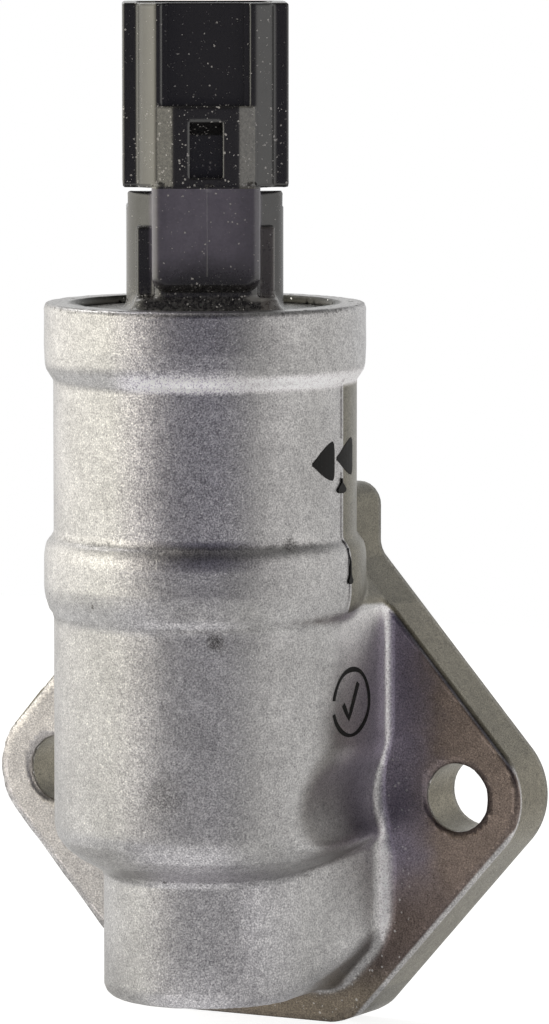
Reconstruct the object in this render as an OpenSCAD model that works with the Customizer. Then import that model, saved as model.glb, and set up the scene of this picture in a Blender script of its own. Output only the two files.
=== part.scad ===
// Idle air control valve of a car engine, built up as the real one is put together.
//
// A die-cast aluminium housing bolts to the intake by its diamond flange. Its upper bore
// holds a solenoid, closed by a moulded end cap that carries a two-blade connector. The
// solenoid lifts a poppet valve off its seat between the two ports in the mounting face.
//
// The origin is the centre of the mounting face, on the line of the two bolts. +Z runs
// along the valve's axis towards the connector, and +Y is the mounting face's normal.
// All heights below are above the line of the bolts.

/* [Flange] */
// Distance between the two bolt holes
bolt_spacing = 46.5; // [45:0.5:50]
// Radius of a bolt hole, clearance for an M6 bolt
bolt_hole_r = 3.5; // [2.75:0.25:4]
// Radius of the ear around each bolt hole
ear_r = 7.1; // [6.2:0.1:8]
// Lean of the flange's four long edges from the valve's axis, in degrees
edge_lean = 41.6; // [40:0.2:43]
// Thickness of the whole flange at the ears
flange_t = 6.6; // [5.6:0.2:8]
// How far the flange's bottom edge lies below the bolts
flange_drop = 24.2; // [23:0.2:26]
// Radius of the two bottom corners
bottom_corner_r = 2; // [1:0.5:4]

/* [Boss] */
// Half the width of the boss above the inlet port
boss_half_w = 11.2; // [10.6:0.1:12]
// Height of the boss's top
boss_top_z = 31.1; // [30:0.1:33]
// Radius of the boss's top corners
boss_corner_r = 2.4; // [1.5:0.1:4]
// Radius of the fillet between the boss and the flange's edges
boss_fillet_r = 0.6; // [0.3:0.1:2]

/* [Casting] */
// How far the mounting face lies behind the barrel
face_setback = 1.77; // [1.4:0.01:4]
// Radius of the barrel
barrel_r = 15.33; // [15:0.05:16]
// How far the two bands stand out of the barrel
band_proud = 0.97; // [0.5:0.05:1.5]
// Height of the rolled rim's top
rim_z = 50.2; // [49:0.2:54]
// Height of the upper band, down from the rim to its shoulder
upper_band_h = 5.6; // [4:0.2:7]
// Height at which the lower band starts
lower_band_z = 20.4; // [20:0.1:21.5]
// Height of the lower band's straight part
lower_band_h = 4.9; // [4:0.1:6]
// Axial length of a band's shoulder
shoulder_h = 1.7; // [1:0.1:2.5]
// How far the barrel's bottom edge lies below the bolts
barrel_drop = 3.6; // [3:0.1:5]
// Axial length of the cone below it
step_h = 3.8; // [3:0.1:5]
// Radius of the foot, the small cylinder at the bottom
foot_r = 10.34; // [10:0.05:11]
// Thickness of the foot's floor under the outlet chamber
foot_floor = 4.4; // [4:0.1:5.5]
// Radius of the foot's bottom edge
foot_edge_r = 1.5; // [0.5:0.1:2]
// Radius of the clearance cut in the casting around each bolt's axis
relief_r = 9.2; // [8.8:0.1:9.6]
// Half the width of the foot's skirt where it meets the flange
skirt_half_w = 15; // [13.5:0.1:15.2]
// Land between the skirt's lower corners and the flange's edge
skirt_land = 3.6; // [3:0.1:4.5]

/* [Ports] */
// Radius of the inlet port, the upper one
inlet_r = 7; // [6:0.1:7.2]
// Land between the boss's top and the seal around the inlet port
boss_land = 3.2; // [2.4:0.1:3.8]
// Radius of the outlet port, the lower one
outlet_r = 6.3; // [5.5:0.1:6.6]
// Land between the flange's bottom edge and the seal around the outlet port
outlet_land = 4; // [3:0.1:4.6]
// Land between a port's edge and its seal
seal_land = 1.5; // [1:0.1:1.6]
// Width of the moulded port seal
seal_w = 1.9; // [1.4:0.1:2]
// Depth of the seal, pressed flush as it is when bolted up
seal_t = 1.6; // [1:0.1:2.2]

/* [Valve] */
// Lift of the valve from its seat
lift = 3.5; // [2:0.1:4]
// Radius of the spindle
spindle_r = 1.5; // [1.25:0.05:1.6]
// Radius of the inlet chamber's bore
chamber_r = 10.5; // [10.2:0.1:10.8]
// How far the inlet chamber's floor lies below the inlet port
floor_step = 3.3; // [3:0.1:3.6]
// Height of the seat ring
seat_ring_h = 3; // [2.6:0.1:3.2]
// How far the seat ring stands above the chamber's floor
seat_proud = 0.8; // [0.5:0.1:1]
// Outer radius of the seat ring
seat_ring_r = 8; // [7.8:0.1:8.2]
// Radius of the passage through the seat ring
seat_bore_r = 5.8; // [5.6:0.1:6]
// Radius of the valve head
head_r = 7.6; // [7.3:0.1:7.8]
// Thickness of the valve head's disc
head_t = 1.6; // [1.2:0.1:2]
// Thickness of the rubber facing under the head
facing_t = 1; // [0.8:0.1:1.2]
// How far the facing's edge stays inside the head's
facing_inset = 0.2; // [0.1:0.05:0.3]
// Radius of the hub that carries the head on the spindle
hub_r = 2.9; // [2.7:0.1:3.1]
// How far the hub reaches above the disc
hub_up = 2.4; // [2:0.1:3]
// How far the hub reaches below the facing
hub_down = 3.2; // [2.6:0.1:3.6]
// Thickness of the spindle's collar above the hub
collar_h = 0.8; // [0.6:0.1:1]
// How far the collar's edge stays inside the hub's
collar_inset = 0.5; // [0.3:0.1:0.7]
// Thickness of the retaining clip under the hub
clip_t = 0.8; // [0.6:0.1:1]
// Radius of the outlet chamber
throat_r = 6.2; // [6:0.1:6.4]
// How far the outlet port reaches below the outlet chamber's floor
throat_step = 0.8; // [0.4:0.1:1]

/* [Solenoid] */
// Wall of the barrel around the solenoid
barrel_wall = 2.03; // [1.8:0.01:2.3]
// How far the shelf that the solenoid stands on lies above the inlet port
shelf_step = 2.5; // [2:0.1:2.9]
// Thickness of the spring plate on the shelf
plate_t = 0.6; // [0.5:0.1:0.8]
// Thickness of the flat gasket above it
gasket_t = 0.7; // [0.5:0.1:0.9]
// Thickness of the two steel end plates of the magnet circuit
flux_t = 2; // [1.6:0.1:2.2]
// Wall of the yoke
yoke_wall = 1.3; // [1:0.1:1.6]
// Share of the winding's outer radius that the armature takes up
core_share = 0.457; // [0.445:0.001:0.47]
// Length of the armature
armature_h = 9.5; // [9:0.1:10]
// Air gap left above the armature at full lift
air_gap = 0.5; // [0.3:0.1:0.8]
// Wall of the brass guide tube around the armature
guide_wall = 0.5; // [0.4:0.05:0.6]
// Thickness of the bobbin's two flanges
bobbin_flange_t = 1; // [0.8:0.1:1.2]
// Wall of the bobbin's tube
bobbin_wall = 0.9; // [0.8:0.1:1.1]
// How far the winding stays inside the bobbin's flanges
winding_inset = 0.7; // [0.4:0.1:1.2]
// How far the pole piece reaches down into the coil
pole_reach = 6; // [5.8:0.1:6.4]

/* [Bushes] */
// Wall of the two spindle bushes
bush_wall = 0.7; // [0.6:0.05:0.9]
// Length of the upper bush, pressed into the pole piece
upper_bush_h = 5; // [4.6:0.1:5.4]
// How far it sits up inside the pole piece
upper_bush_inset = 0.4; // [0.2:0.1:0.8]
// Length of the spindle's top that the upper bush holds at rest
upper_hold = 2.6; // [2:0.1:3]
// Length of the lower bush, pressed into the foot
lower_bush_h = 6; // [5.6:0.1:6.2]
// How far the lower bush is sunk below the outlet chamber's floor
lower_bush_sink = 2.4; // [2:0.1:2.8]
// Gap under the spindle's foot at rest
foot_gap = 0.5; // [0.3:0.1:0.8]
// Radius of the boss in the outlet chamber that holds the lower bush
guide_boss_r = 4.1; // [4:0.1:4.3]
// How far behind that boss the outlet port ends
guide_boss_gap = 0.3; // [0.2:0.1:0.6]
// Clearance around the spindle in the vent hole above its bush
vent_gap = 0.3; // [0.2:0.1:0.4]

/* [Springs] */
// Gap between the return spring and the armature inside it
return_gap = 0.78; // [0.7:0.02:1]
// Wire radius of the return spring
return_wire_r = 0.4; // [0.3:0.05:0.45]
// Turns of the return spring
return_turns = 5; // [4:0.5:6]
// Gap between the balance spring and the spindle inside it
balance_gap = 0.85; // [0.7:0.05:0.9]
// Wire radius of the balance spring
balance_wire_r = 0.25; // [0.2:0.05:0.3]
// Turns of the balance spring
balance_turns = 8; // [6:0.5:9]
// Height of the wave washer over the solenoid
wave_h = 0.7; // [0.6:0.05:0.8]
// Sheet thickness of the wave washer
wave_t = 0.3; // [0.25:0.05:0.35]
// Width of the wave washer
wave_w = 1.7; // [1.4:0.1:1.9]
// Clearance around the wave washer, which lets it flatten
wave_gap = 0.5; // [0.3:0.1:0.6]

/* [End cap] */
// Width of the ledge that the end cap's flange stands on
cap_ledge = 0.8; // [0.6:0.05:1]
// Thickness of the end cap's flange
cap_flange_t = 2.9; // [2.4:0.1:3.2]
// Thickness of the rim rolled over the end cap
rim_t = 0.7; // [0.4:0.1:0.8]
// Width of the rim rolled over the end cap
rim_w = 3.1; // [2.8:0.1:3.3]
// Height of the end cap's spigot, which carries the o-ring
spigot_h = 2.8; // [2.6:0.1:3]
// Thickness of the end cap's o-ring
o_ring_t = 1.5; // [1.3:0.1:1.6]

/* [Connector] */
// Turn of the connector about the valve's axis, from -Y towards +X, in degrees
turn = 30; // [0:5:60]
// Height of the neck between the end cap and the shroud
neck_h = 12.5; // [11:0.1:14]
// Height of the shroud
shroud_h = 18.4; // [17:0.1:19]
// Half the width of the shroud
shroud_half_w = 8.3; // [8:0.1:8.6]
// Half the width of the front land between the two slanting facets
land_half_w = 5; // [4.8:0.1:5.2]
// How far a facet's outer edge lies behind the land
facet_back = 1.5; // [1:0.1:2]
// Distance from the axis to the shroud's front and back
shroud_half_d = 6.2; // [6:0.1:6.4]
// Radius of the shroud's edges behind the facets
shroud_side_r = 1.1; // [0.8:0.1:1.4]
// Radius of the shroud's back edges
shroud_back_r = 2; // [1.6:0.1:2.4]
// Half the width of the latch channel down the front
channel_half_w = 3.75; // [3.4:0.05:3.9]
// Depth of the latch channel
channel_d = 1.3; // [1:0.1:1.5]
// Wall of the shroud behind the latch channel and at the sides
shroud_wall = 1.5; // [1.2:0.1:1.6]
// Height of the latch block, up from the shroud's bottom
latch_h = 8.2; // [7.8:0.1:8.6]
// How far the latch block stands in front of the land
latch_proud = 1; // [0.6:0.1:1.2]
// Half the width of the latch block's flat face
latch_face_half_w = 3.25; // [3:0.05:3.4]
// Half the width of the latch window
window_half_w = 1.65; // [1.4:0.05:1.8]
// Height of the latch window
window_h = 5.6; // [5:0.1:6]
// Height of the sill under the latch window
window_sill = 1.05; // [0.8:0.05:1.4]
// Height of the slope at the top of the latch window
window_slope = 1.4; // [1:0.1:1.8]
// Half the width of the neck under the shroud
neck_half_w = 5.45; // [5.2:0.05:5.6]
// Radius of the neck's upright edges
neck_edge_r = 1.2; // [0.8:0.1:1.6]
// How far the neck stands in front of the latch block
neck_proud = 0.2; // [0:0.1:0.6]
// How far the neck's back lies in front of the shroud's back
neck_back_inset = 0.4; // [0.2:0.1:1]
// Half the width of the two wings beside the neck
wing_half_w = 7.8; // [7.4:0.1:8]
// Gap between the wings and the shroud
wing_gap = 0.5; // [0.4:0.1:0.8]
// How far the wings start in front of the axis
wing_front = 2; // [1:0.2:3]
// How far the stepped rib in front of each wing stays below the wing's top
rib_drop = 3.4; // [2.8:0.1:4]
// How far the rib stands in front of the wing
rib_proud = 2.6; // [2:0.2:3.4]
// How far the rib stays inside the wing's side
rib_inset = 0.9; // [0.6:0.1:1.1]
// Height of the pedestal on the end cap
pedestal_h = 1.5; // [1:0.1:2]
// Half the width of the pedestal
pedestal_half_w = 7.2; // [7:0.1:7.4]
// How far the pedestal stands in front of the neck
pedestal_proud = 0.5; // [0.2:0.1:0.8]
// Thickness of the floor under the socket
socket_floor = 2.6; // [2:0.1:3.2]
// Distance between the two terminal blades
blade_pitch = 5; // [4.6:0.1:5.4]
// Width of a terminal blade
blade_w = 2.8; // [2.4:0.1:3]
// Thickness of a terminal blade
blade_t = 0.8; // [0.6:0.1:0.8]
// How far the blades end below the mouth
blade_inset = 4.6; // [4:0.1:6]
// Length of the taper at a blade's tip
blade_taper = 1; // [0.6:0.1:1.4]
// Height of the terminal's foot above the bottom of the end cap's flange
blade_foot_h = 0.4; // [0.2:0.1:0.6]
// Width of the terminal's foot and leg
leg_w = 2; // [1.6:0.1:2.2]
// Clearance around the leg in the pole piece
leg_gap = 0.6; // [0.5:0.1:0.8]

/* [Fits] */
// Radial clearance of a sliding fit
slide_gap = 0.05; // [0.03:0.01:0.08]
// Gap between pieces that are stacked or dropped in with no press
loose_gap = 0.05; // [0.03:0.01:0.08]

/* [Hidden] */
$fn = 96;
hull_fn = 32;
over = 1;

// Casting
band_r = barrel_r + band_proud;
axis_to_face = barrel_r + face_setback;
barrel_end_z = -barrel_drop;
edge_round = 0.4;
block_inset = 0.05;
block_half_w = barrel_r - block_inset;
flange_front_y = axis_to_face - flange_t;
flange_mid_y = axis_to_face - flange_t / 2;
step_end_z = barrel_end_z - step_h;
hull_inset = 0.35;
slice_h = 0.1;
bolt_x = bolt_spacing / 2;

// Ports, each set in from the flange's end by its seal and a land, and the chambers
inlet_z = boss_top_z - boss_land - seal_w - seal_land - inlet_r;
outlet_z = outlet_r + seal_land + seal_w + outlet_land - flange_drop;
throat_floor_z = outlet_z - outlet_r + throat_step;
foot_z = throat_floor_z - foot_floor;
chamber_floor_z = inlet_z - inlet_r - floor_step;
shelf_z = inlet_z + inlet_r + shelf_step;
coil_bore_r = barrel_r - barrel_wall;

// End cap, held under the rolled rim
cap_top_z = rim_z - rim_t;
cap_flange_z = cap_top_z - cap_flange_t;
cap_r = coil_bore_r + cap_ledge;
rim_open_r = band_r - rim_w;
spigot_z = cap_flange_z - spigot_h;
spigot_r = coil_bore_r - loose_gap;
o_ring_r = coil_bore_r - o_ring_t / 2;
groove_r = o_ring_r - o_ring_t / 2;
groove_h = o_ring_t + 2 * loose_gap;
groove_z = (spigot_z + cap_flange_z - groove_h) / 2;

// Solenoid, stacked from the shelf up to the end cap's spigot
wave_z = spigot_z - wave_h;
pole_plate_z = wave_z - flux_t;
gasket_z = shelf_z + plate_t;
flux_z = gasket_z + gasket_t;
yoke_z = flux_z + flux_t;
yoke_h = pole_plate_z - yoke_z;
bobbin_z = yoke_z + loose_gap;
bobbin_h = yoke_h - 2 * loose_gap;

// Solenoid, from the barrel's bore inwards
solenoid_r = coil_bore_r - loose_gap;
bobbin_r = solenoid_r - yoke_wall - loose_gap;
winding_r = bobbin_r - winding_inset;
armature_r = winding_r * core_share;
pole_r = armature_r;
guide_r = armature_r + slide_gap + guide_wall;
bobbin_bore_r = guide_r + loose_gap;
winding_in_r = bobbin_bore_r + bobbin_wall;
pole_face_z = pole_plate_z - pole_reach;
guide_h = pole_face_z + pole_reach / 2 - flux_z;

// Moving group, from the closed valve up
seat_top_z = chamber_floor_z + seat_proud;
seat_pocket_z = seat_top_z - seat_ring_h;
facing_z = seat_top_z + loose_gap;
head_z = facing_z + facing_t;
head_top_z = head_z + head_t;
hub_top_z = head_top_z + hub_up;
hub_low_z = facing_z - hub_down;
clip_z = hub_low_z - clip_t;
armature_top_z = pole_face_z - lift - air_gap;
armature_z = armature_top_z - armature_h;
collar_r = hub_r - collar_inset;
return_r = armature_r + return_gap + return_wire_r;
balance_r = spindle_r + balance_gap + balance_wire_r;

// Bushes and the spindle's two ends
bush_bore_r = spindle_r + slide_gap;
bush_r = bush_bore_r + bush_wall;
upper_bush_z = pole_face_z + upper_bush_inset;
lower_bush_z = throat_floor_z - lower_bush_sink;
guide_boss_top_z = lower_bush_z + lower_bush_h;
vent_r = spindle_r + vent_gap;
spindle_foot_z = lower_bush_z + foot_gap;
spindle_top_z = upper_bush_z + upper_hold;

// Connector
shroud_z = cap_top_z + neck_h;
mouth_z = shroud_z + shroud_h;
channel_y = -shroud_half_d + channel_d;
latch_y = -shroud_half_d - latch_proud;
neck_front_y = latch_y - neck_proud;
neck_back_y = shroud_half_d - neck_back_inset;
wing_top_z = shroud_z - wing_gap;
window_z = shroud_z + window_sill;
blade_foot_z = cap_flange_z + blade_foot_h;
leg_x = (winding_r + winding_in_r) / 2;
leg_hole_r = leg_w / 2 + leg_gap;

// Points on an arc about a centre, from one angle to another
function arc(centre, r, from, to, steps = 8) =
    [for (i = [0 : steps]) let (a = from + (to - from) * i / steps)
        centre + r * [cos(a), sin(a)]];

// The same points mirrored, in the reverse order, to close a symmetric outline
function mirrored(points) =
    [for (i = [len(points) - 1 : -1 : 0]) [-points[i].x, points[i].y]];

// Right half of the flange's outline, from the bottom edge up to the boss's top. Its long
// edges touch the ear's circle and lean by edge_lean, so each is where the distance along
// the edge's normal equals edge_reach.
edge_reach = bolt_x * cos(edge_lean) + ear_r;
function on_edge_x(z, inset) = (edge_reach - inset - abs(z) * sin(edge_lean)) / cos(edge_lean);
function on_edge_z(x, inset) = (edge_reach - inset - x * cos(edge_lean)) / sin(edge_lean);
corner_z = bottom_corner_r - flange_drop;
flange_half = concat(
    arc([on_edge_x(corner_z, bottom_corner_r), corner_z], bottom_corner_r, -90, -edge_lean),
    arc([bolt_x, 0], ear_r, -edge_lean, edge_lean, 16),
    arc([boss_half_w + boss_fillet_r, on_edge_z(boss_half_w + boss_fillet_r, -boss_fillet_r)],
        boss_fillet_r, 180 + edge_lean, 180),
    arc([boss_half_w - boss_corner_r, boss_top_z - boss_corner_r], boss_corner_r, 0, 90));
flange_outline = concat(flange_half, mirrored(flange_half));

// The skirt's lower corners run along the flange's edge, a land's width inside it
skirt_corner_z = -on_edge_z(skirt_half_w, skirt_land);
skirt_low_half_w = on_edge_x(foot_z, skirt_land);

// Moves a piece from the valve's own axis to its place in front of the mounting face
module on_axis() {
    translate([0, -axis_to_face, 0]) children();
}

// Lays an outline of x and height upright, from one distance in front of the axis to another
module upright(from_y, to_y) {
    translate([0, to_y, 0]) rotate([90, 0, 0]) linear_extrude(to_y - from_y) children();
}

// A ring, or a solid disc if its bore is 0
module ring(r, bore_r, z, h) {
    translate([0, 0, z]) difference() {
        cylinder(r = r, h = h);
        if (bore_r > 0) translate([0, 0, -over]) cylinder(r = bore_r, h = h + 2 * over);
    }
}

// A round bar that lies across the valve's axis, from one y to another
module cross_bore(r, x, z, from_y, to_y) {
    translate([x, to_y, z]) rotate([90, 0, 0]) cylinder(r = r, h = to_y - from_y);
}

// A rectangle with round corners, between two x and two y
module rounded_rect(x1, x2, y1, y2, r) {
    polygon(concat(
        arc([x1 + r, y1 + r], r, 180, 270), arc([x2 - r, y1 + r], r, 270, 360),
        arc([x2 - r, y2 - r], r, 0, 90), arc([x1 + r, y2 - r], r, 90, 180)));
}

// A coil spring between two heights: round wire swept along a helix whose first and last
// turns lie flat
module coil_spring(r, wire_r, turns, from_z, to_z) {
    sides = 8;
    per_turn = 20;
    rings = round(turns * per_turn);
    low_z = from_z + wire_r;
    rise = to_z - from_z - 2 * wire_r;
    dead = 0.9 / turns;
    function height(t) = low_z + rise * min(1, max(0, (t - dead) / (1 - 2 * dead)));
    points = [for (i = [0 : rings], k = [0 : sides - 1])
        let (a = 360 * turns * i / rings, b = 360 * k / sides, q = r + wire_r * cos(b))
            [q * cos(a), q * sin(a), height(i / rings) + wire_r * sin(b)]];
    faces = concat(
        [[for (k = [0 : sides - 1]) k]],
        [[for (k = [sides - 1 : -1 : 0]) rings * sides + k]],
        [for (i = [0 : rings - 1], k = [0 : sides - 1]) let (n = (k + 1) % sides)
            [i * sides + k, (i + 1) * sides + k, (i + 1) * sides + n, i * sides + n]]);
    polyhedron(points = points, faces = faces, convexity = 10);
}

// Outside of the turned shape of the casting: foot, cone, barrel and the upper band
module barrel_solid() {
    shoulder_z = rim_z - upper_band_h;
    profile = concat(
        [[0, foot_z]],
        arc([foot_r - foot_edge_r, foot_z + foot_edge_r], foot_edge_r, -90, 0, 4),
        [[foot_r, step_end_z], [barrel_r, barrel_end_z], [barrel_r, shoulder_z - shoulder_h],
         [band_r - band_proud / 4, shoulder_z - shoulder_h / 3],
         [band_r, shoulder_z + shoulder_h / 3], [band_r, rim_z - edge_round],
         [band_r - edge_round, rim_z], [0, rim_z]]);
    rotate_extrude() polygon(profile);
}

// Lower band, with a long shoulder below and a short one above
module lower_band_solid() {
    top_z = lower_band_z + lower_band_h;
    core_r = barrel_r - band_proud;
    profile = [[core_r, lower_band_z - shoulder_h], [barrel_r, lower_band_z - shoulder_h],
               [band_r - band_proud / 3, lower_band_z - shoulder_h / 3], [band_r, lower_band_z],
               [band_r, top_z], [band_r - band_proud / 3, top_z + shoulder_h / 3],
               [barrel_r, top_z + shoulder_h * 2 / 3], [core_r, top_z + shoulder_h * 2 / 3]];
    rotate_extrude() polygon(profile);
}

// Cast block between the barrel and the flange, with the boss above it and the flared skirt
// around the foot. Its top follows the flange's long edges.
module block_solid() {
    upright(0, flange_front_y) intersection() {
        polygon(flange_outline);
        translate([-block_half_w, barrel_end_z])
            square([2 * block_half_w, boss_top_z + barrel_drop + over]);
    }
    // cone below the barrel, carried back to the flange
    hull($fn = hull_fn) {
        round_front_slice(barrel_end_z - slice_h, barrel_r - hull_inset, block_half_w);
        round_front_slice(step_end_z, foot_r - hull_inset, foot_r - hull_inset);
    }
    // skirt around the foot, cut off below in line with the flange's lower edges
    hull($fn = hull_fn) {
        translate([0, 0, foot_z + foot_edge_r])
            cylinder(r = foot_r - hull_inset, h = barrel_end_z - foot_z - foot_edge_r);
        translate([0, 0, foot_z]) cylinder(r = foot_r - foot_edge_r, h = slice_h);
        upright(flange_front_y, flange_mid_y)
            polygon([[-skirt_half_w, barrel_end_z], [-skirt_half_w, skirt_corner_z],
                     [-skirt_low_half_w, foot_z], [skirt_low_half_w, foot_z],
                     [skirt_half_w, skirt_corner_z], [skirt_half_w, barrel_end_z]]);
    }
}

// A thin slice, round in front and straight at its sides, that runs back into the flange
module round_front_slice(z, r, half_w) {
    translate([0, 0, z]) {
        cylinder(r = r, h = slice_h);
        translate([-half_w, 0, 0]) cube([2 * half_w, flange_mid_y, slice_h]);
    }
}

// Diamond flange
module flange_solid() {
    upright(flange_front_y, axis_to_face) polygon(flange_outline);
}

// Shape of the port seal in the mounting face: a ring around each port and a web between
module seal_shape(grow) {
    inlet_seal_r = inlet_r + seal_land;
    outlet_seal_r = outlet_r + seal_land;
    module port_ring(r, z) {
        translate([0, z]) difference() {
            circle(r = r + seal_w + grow);
            circle(r = r - grow);
        }
    }
    port_ring(inlet_seal_r, inlet_z);
    port_ring(outlet_seal_r, outlet_z);
    web_low_z = outlet_z + outlet_seal_r + seal_w / 2;
    web_high_z = inlet_z - inlet_seal_r - seal_w / 2;
    translate([-seal_w / 2 - grow, web_low_z])
        square([seal_w + 2 * grow, web_high_z - web_low_z]);
}

// Bores, chambers and port passages
module housing_cuts() {
    ring(rim_open_r, 0, cap_top_z - over / 2, rim_t + over);
    ring(cap_r + loose_gap, 0, cap_flange_z, cap_flange_t);
    ring(coil_bore_r, 0, shelf_z, cap_flange_z - shelf_z + over / 2);
    ring(chamber_r, 0, chamber_floor_z, shelf_z - chamber_floor_z + over / 2);
    ring(seat_ring_r, 0, seat_pocket_z, seat_ring_h);
    difference() {
        ring(throat_r, 0, throat_floor_z, seat_pocket_z - throat_floor_z + over / 2);
        ring(guide_boss_r, 0, throat_floor_z - over, guide_boss_top_z - throat_floor_z + over);
    }
    ring(bush_r, 0, lower_bush_z, lower_bush_h + over);
    cross_bore(inlet_r, 0, inlet_z, inlet_r, axis_to_face + over);
    cross_bore(outlet_r, 0, outlet_z, guide_boss_r + guide_boss_gap, axis_to_face + over);
    for (side = [-1, 1])
        cross_bore(bolt_hole_r, side * bolt_x, 0, 0, axis_to_face + over);
    upright(axis_to_face - seal_t, axis_to_face + over) seal_shape(loose_gap);
}

module housing() {
    color([0.66, 0.65, 0.62]) on_axis() difference() {
        union() {
            difference() {
                union() {
                    barrel_solid();
                    lower_band_solid();
                    block_solid();
                }
                for (side = [-1, 1])
                    cross_bore(relief_r, side * bolt_x, 0, -axis_to_face, flange_front_y);
            }
            flange_solid();
        }
        housing_cuts();
    }
}

// Shroud's outline seen from above: a flat land in front, a facet each side of it, and a
// rounded back
module shroud_outline() {
    side_x = shroud_half_w - shroud_side_r;
    back_x = shroud_half_w - shroud_back_r;
    half = concat(
        [[land_half_w, -shroud_half_d], [side_x + shroud_side_r / 10, facet_back - shroud_half_d]],
        arc([side_x, facet_back + shroud_side_r - shroud_half_d], shroud_side_r, -45, 0, 4),
        arc([back_x, shroud_half_d - shroud_back_r], shroud_back_r, 0, 90));
    polygon(concat(half, mirrored(half)));
}

// Slot that the mating plug's latch runs down, and the block that it snaps over
module shroud_solid() {
    translate([0, 0, shroud_z]) difference() {
        linear_extrude(shroud_h) shroud_outline();
        translate([-channel_half_w, -shroud_half_d - over, -over])
            cube([2 * channel_half_w, channel_d + over, shroud_h + 2 * over]);
    }
    difference() {
        translate([0, 0, shroud_z]) linear_extrude(latch_h)
            polygon([[-land_half_w, channel_y - over / 2], [-land_half_w, -shroud_half_d],
                     [-latch_face_half_w, latch_y], [latch_face_half_w, latch_y],
                     [land_half_w, -shroud_half_d], [land_half_w, channel_y + over / 2]]);
        translate([-window_half_w, 0, 0]) rotate([90, 0, 90]) linear_extrude(2 * window_half_w)
            polygon([[latch_y - over, window_z], [channel_y, window_z],
                     [channel_y, window_z + window_h - window_slope],
                     [latch_y, window_z + window_h], [latch_y - over, window_z + window_h]]);
    }
}

// Neck, side wings with their stepped ribs, and the pedestal on the cap
module neck_solid() {
    wing_front_y = -wing_front;
    rib_front_y = wing_front_y - rib_proud;
    rib_half_w = wing_half_w - rib_inset;
    translate([0, 0, cap_top_z - over]) linear_extrude(shroud_z - cap_top_z + over + slice_h)
        rounded_rect(-neck_half_w, neck_half_w, neck_front_y, neck_back_y, neck_edge_r);
    translate([0, 0, cap_top_z - over]) linear_extrude(pedestal_h + over)
        rounded_rect(-pedestal_half_w, pedestal_half_w, neck_front_y - pedestal_proud,
                     neck_back_y, neck_edge_r);
    translate([-wing_half_w, wing_front_y, cap_top_z - over])
        cube([2 * wing_half_w, neck_back_y - wing_front_y - over, wing_top_z - cap_top_z + over]);
    translate([-rib_half_w, rib_front_y, cap_top_z - over])
        cube([2 * rib_half_w, -rib_front_y, wing_top_z - rib_drop - cap_top_z + over]);
}

// Inside of the shroud, where the mating plug goes
module socket_cut() {
    translate([0, 0, shroud_z + socket_floor]) linear_extrude(shroud_h)
        rounded_rect(shroud_wall - shroud_half_w, shroud_half_w - shroud_wall,
                     channel_y + shroud_wall, shroud_half_d - shroud_wall, neck_edge_r);
}

// One terminal: blade in the socket, a foot inside the moulding and a leg to the coil
module terminal(side) {
    blade_x = side * blade_pitch / 2;
    blade_top_z = mouth_z - blade_inset;
    on_axis() rotate(turn) {
        translate([blade_x - blade_t / 2, 0, 0]) rotate([90, 0, 90]) linear_extrude(blade_t)
            polygon([[-blade_w / 2, blade_foot_z], [blade_w / 2, blade_foot_z],
                     [blade_w / 2, blade_top_z - blade_taper], [blade_w / 4, blade_top_z],
                     [-blade_w / 4, blade_top_z], [-blade_w / 2, blade_top_z - blade_taper]]);
        translate([min(blade_x, side * leg_x), -leg_w / 2, blade_foot_z])
            cube([leg_x - blade_pitch / 2, leg_w, blade_t]);
        translate([side * leg_x - blade_t / 2, -leg_w / 2, pole_plate_z])
            cube([blade_t, leg_w, blade_foot_z + blade_t - pole_plate_z]);
    }
}

module end_cap() {
    profile = [[0, spigot_z], [spigot_r, spigot_z], [spigot_r, groove_z], [groove_r, groove_z],
               [groove_r, groove_z + groove_h], [spigot_r, groove_z + groove_h],
               [spigot_r, cap_flange_z + loose_gap], [cap_r, cap_flange_z + loose_gap],
               [cap_r, cap_top_z - loose_gap], [0, cap_top_z - loose_gap]];
    color([0.12, 0.11, 0.12]) difference() {
        on_axis() {
            rotate_extrude() polygon(profile);
            rotate(turn) difference() {
                union() {
                    neck_solid();
                    shroud_solid();
                }
                socket_cut();
            }
        }
        terminal(-1);
        terminal(1);
    }
}

module terminal_left() {
    color([0.75, 0.72, 0.6]) terminal(-1);
}

module terminal_right() {
    color([0.75, 0.72, 0.6]) terminal(1);
}

module cap_o_ring() {
    color([0.1, 0.1, 0.1]) on_axis() translate([0, 0, groove_z + groove_h / 2])
        rotate_extrude() translate([o_ring_r, 0]) circle(d = o_ring_t, $fn = 32);
}

// Sheet-steel ring bent into three waves, pressed between the solenoid and the end cap
module wave_washer() {
    out_r = coil_bore_r - wave_gap;
    in_r = out_r - wave_w;
    steps = 72;
    waves = 3;
    swing = (wave_h - wave_t) / 2;
    corners = [[in_r, 0], [out_r, 0], [out_r, wave_t], [in_r, wave_t]];
    points = [for (i = [0 : steps - 1], c = corners) let (a = 360 * i / steps)
        [c.x * cos(a), c.x * sin(a), wave_z + c.y + swing * (1 + sin(waves * a))]];
    faces = [for (i = [0 : steps - 1], k = [0 : 3]) let (j = (i + 1) % steps, n = (k + 1) % 4)
        [i * 4 + k, i * 4 + n, j * 4 + n, j * 4 + k]];
    color([0.6, 0.6, 0.62]) on_axis() polyhedron(points = points, faces = faces, convexity = 4);
}

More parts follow.
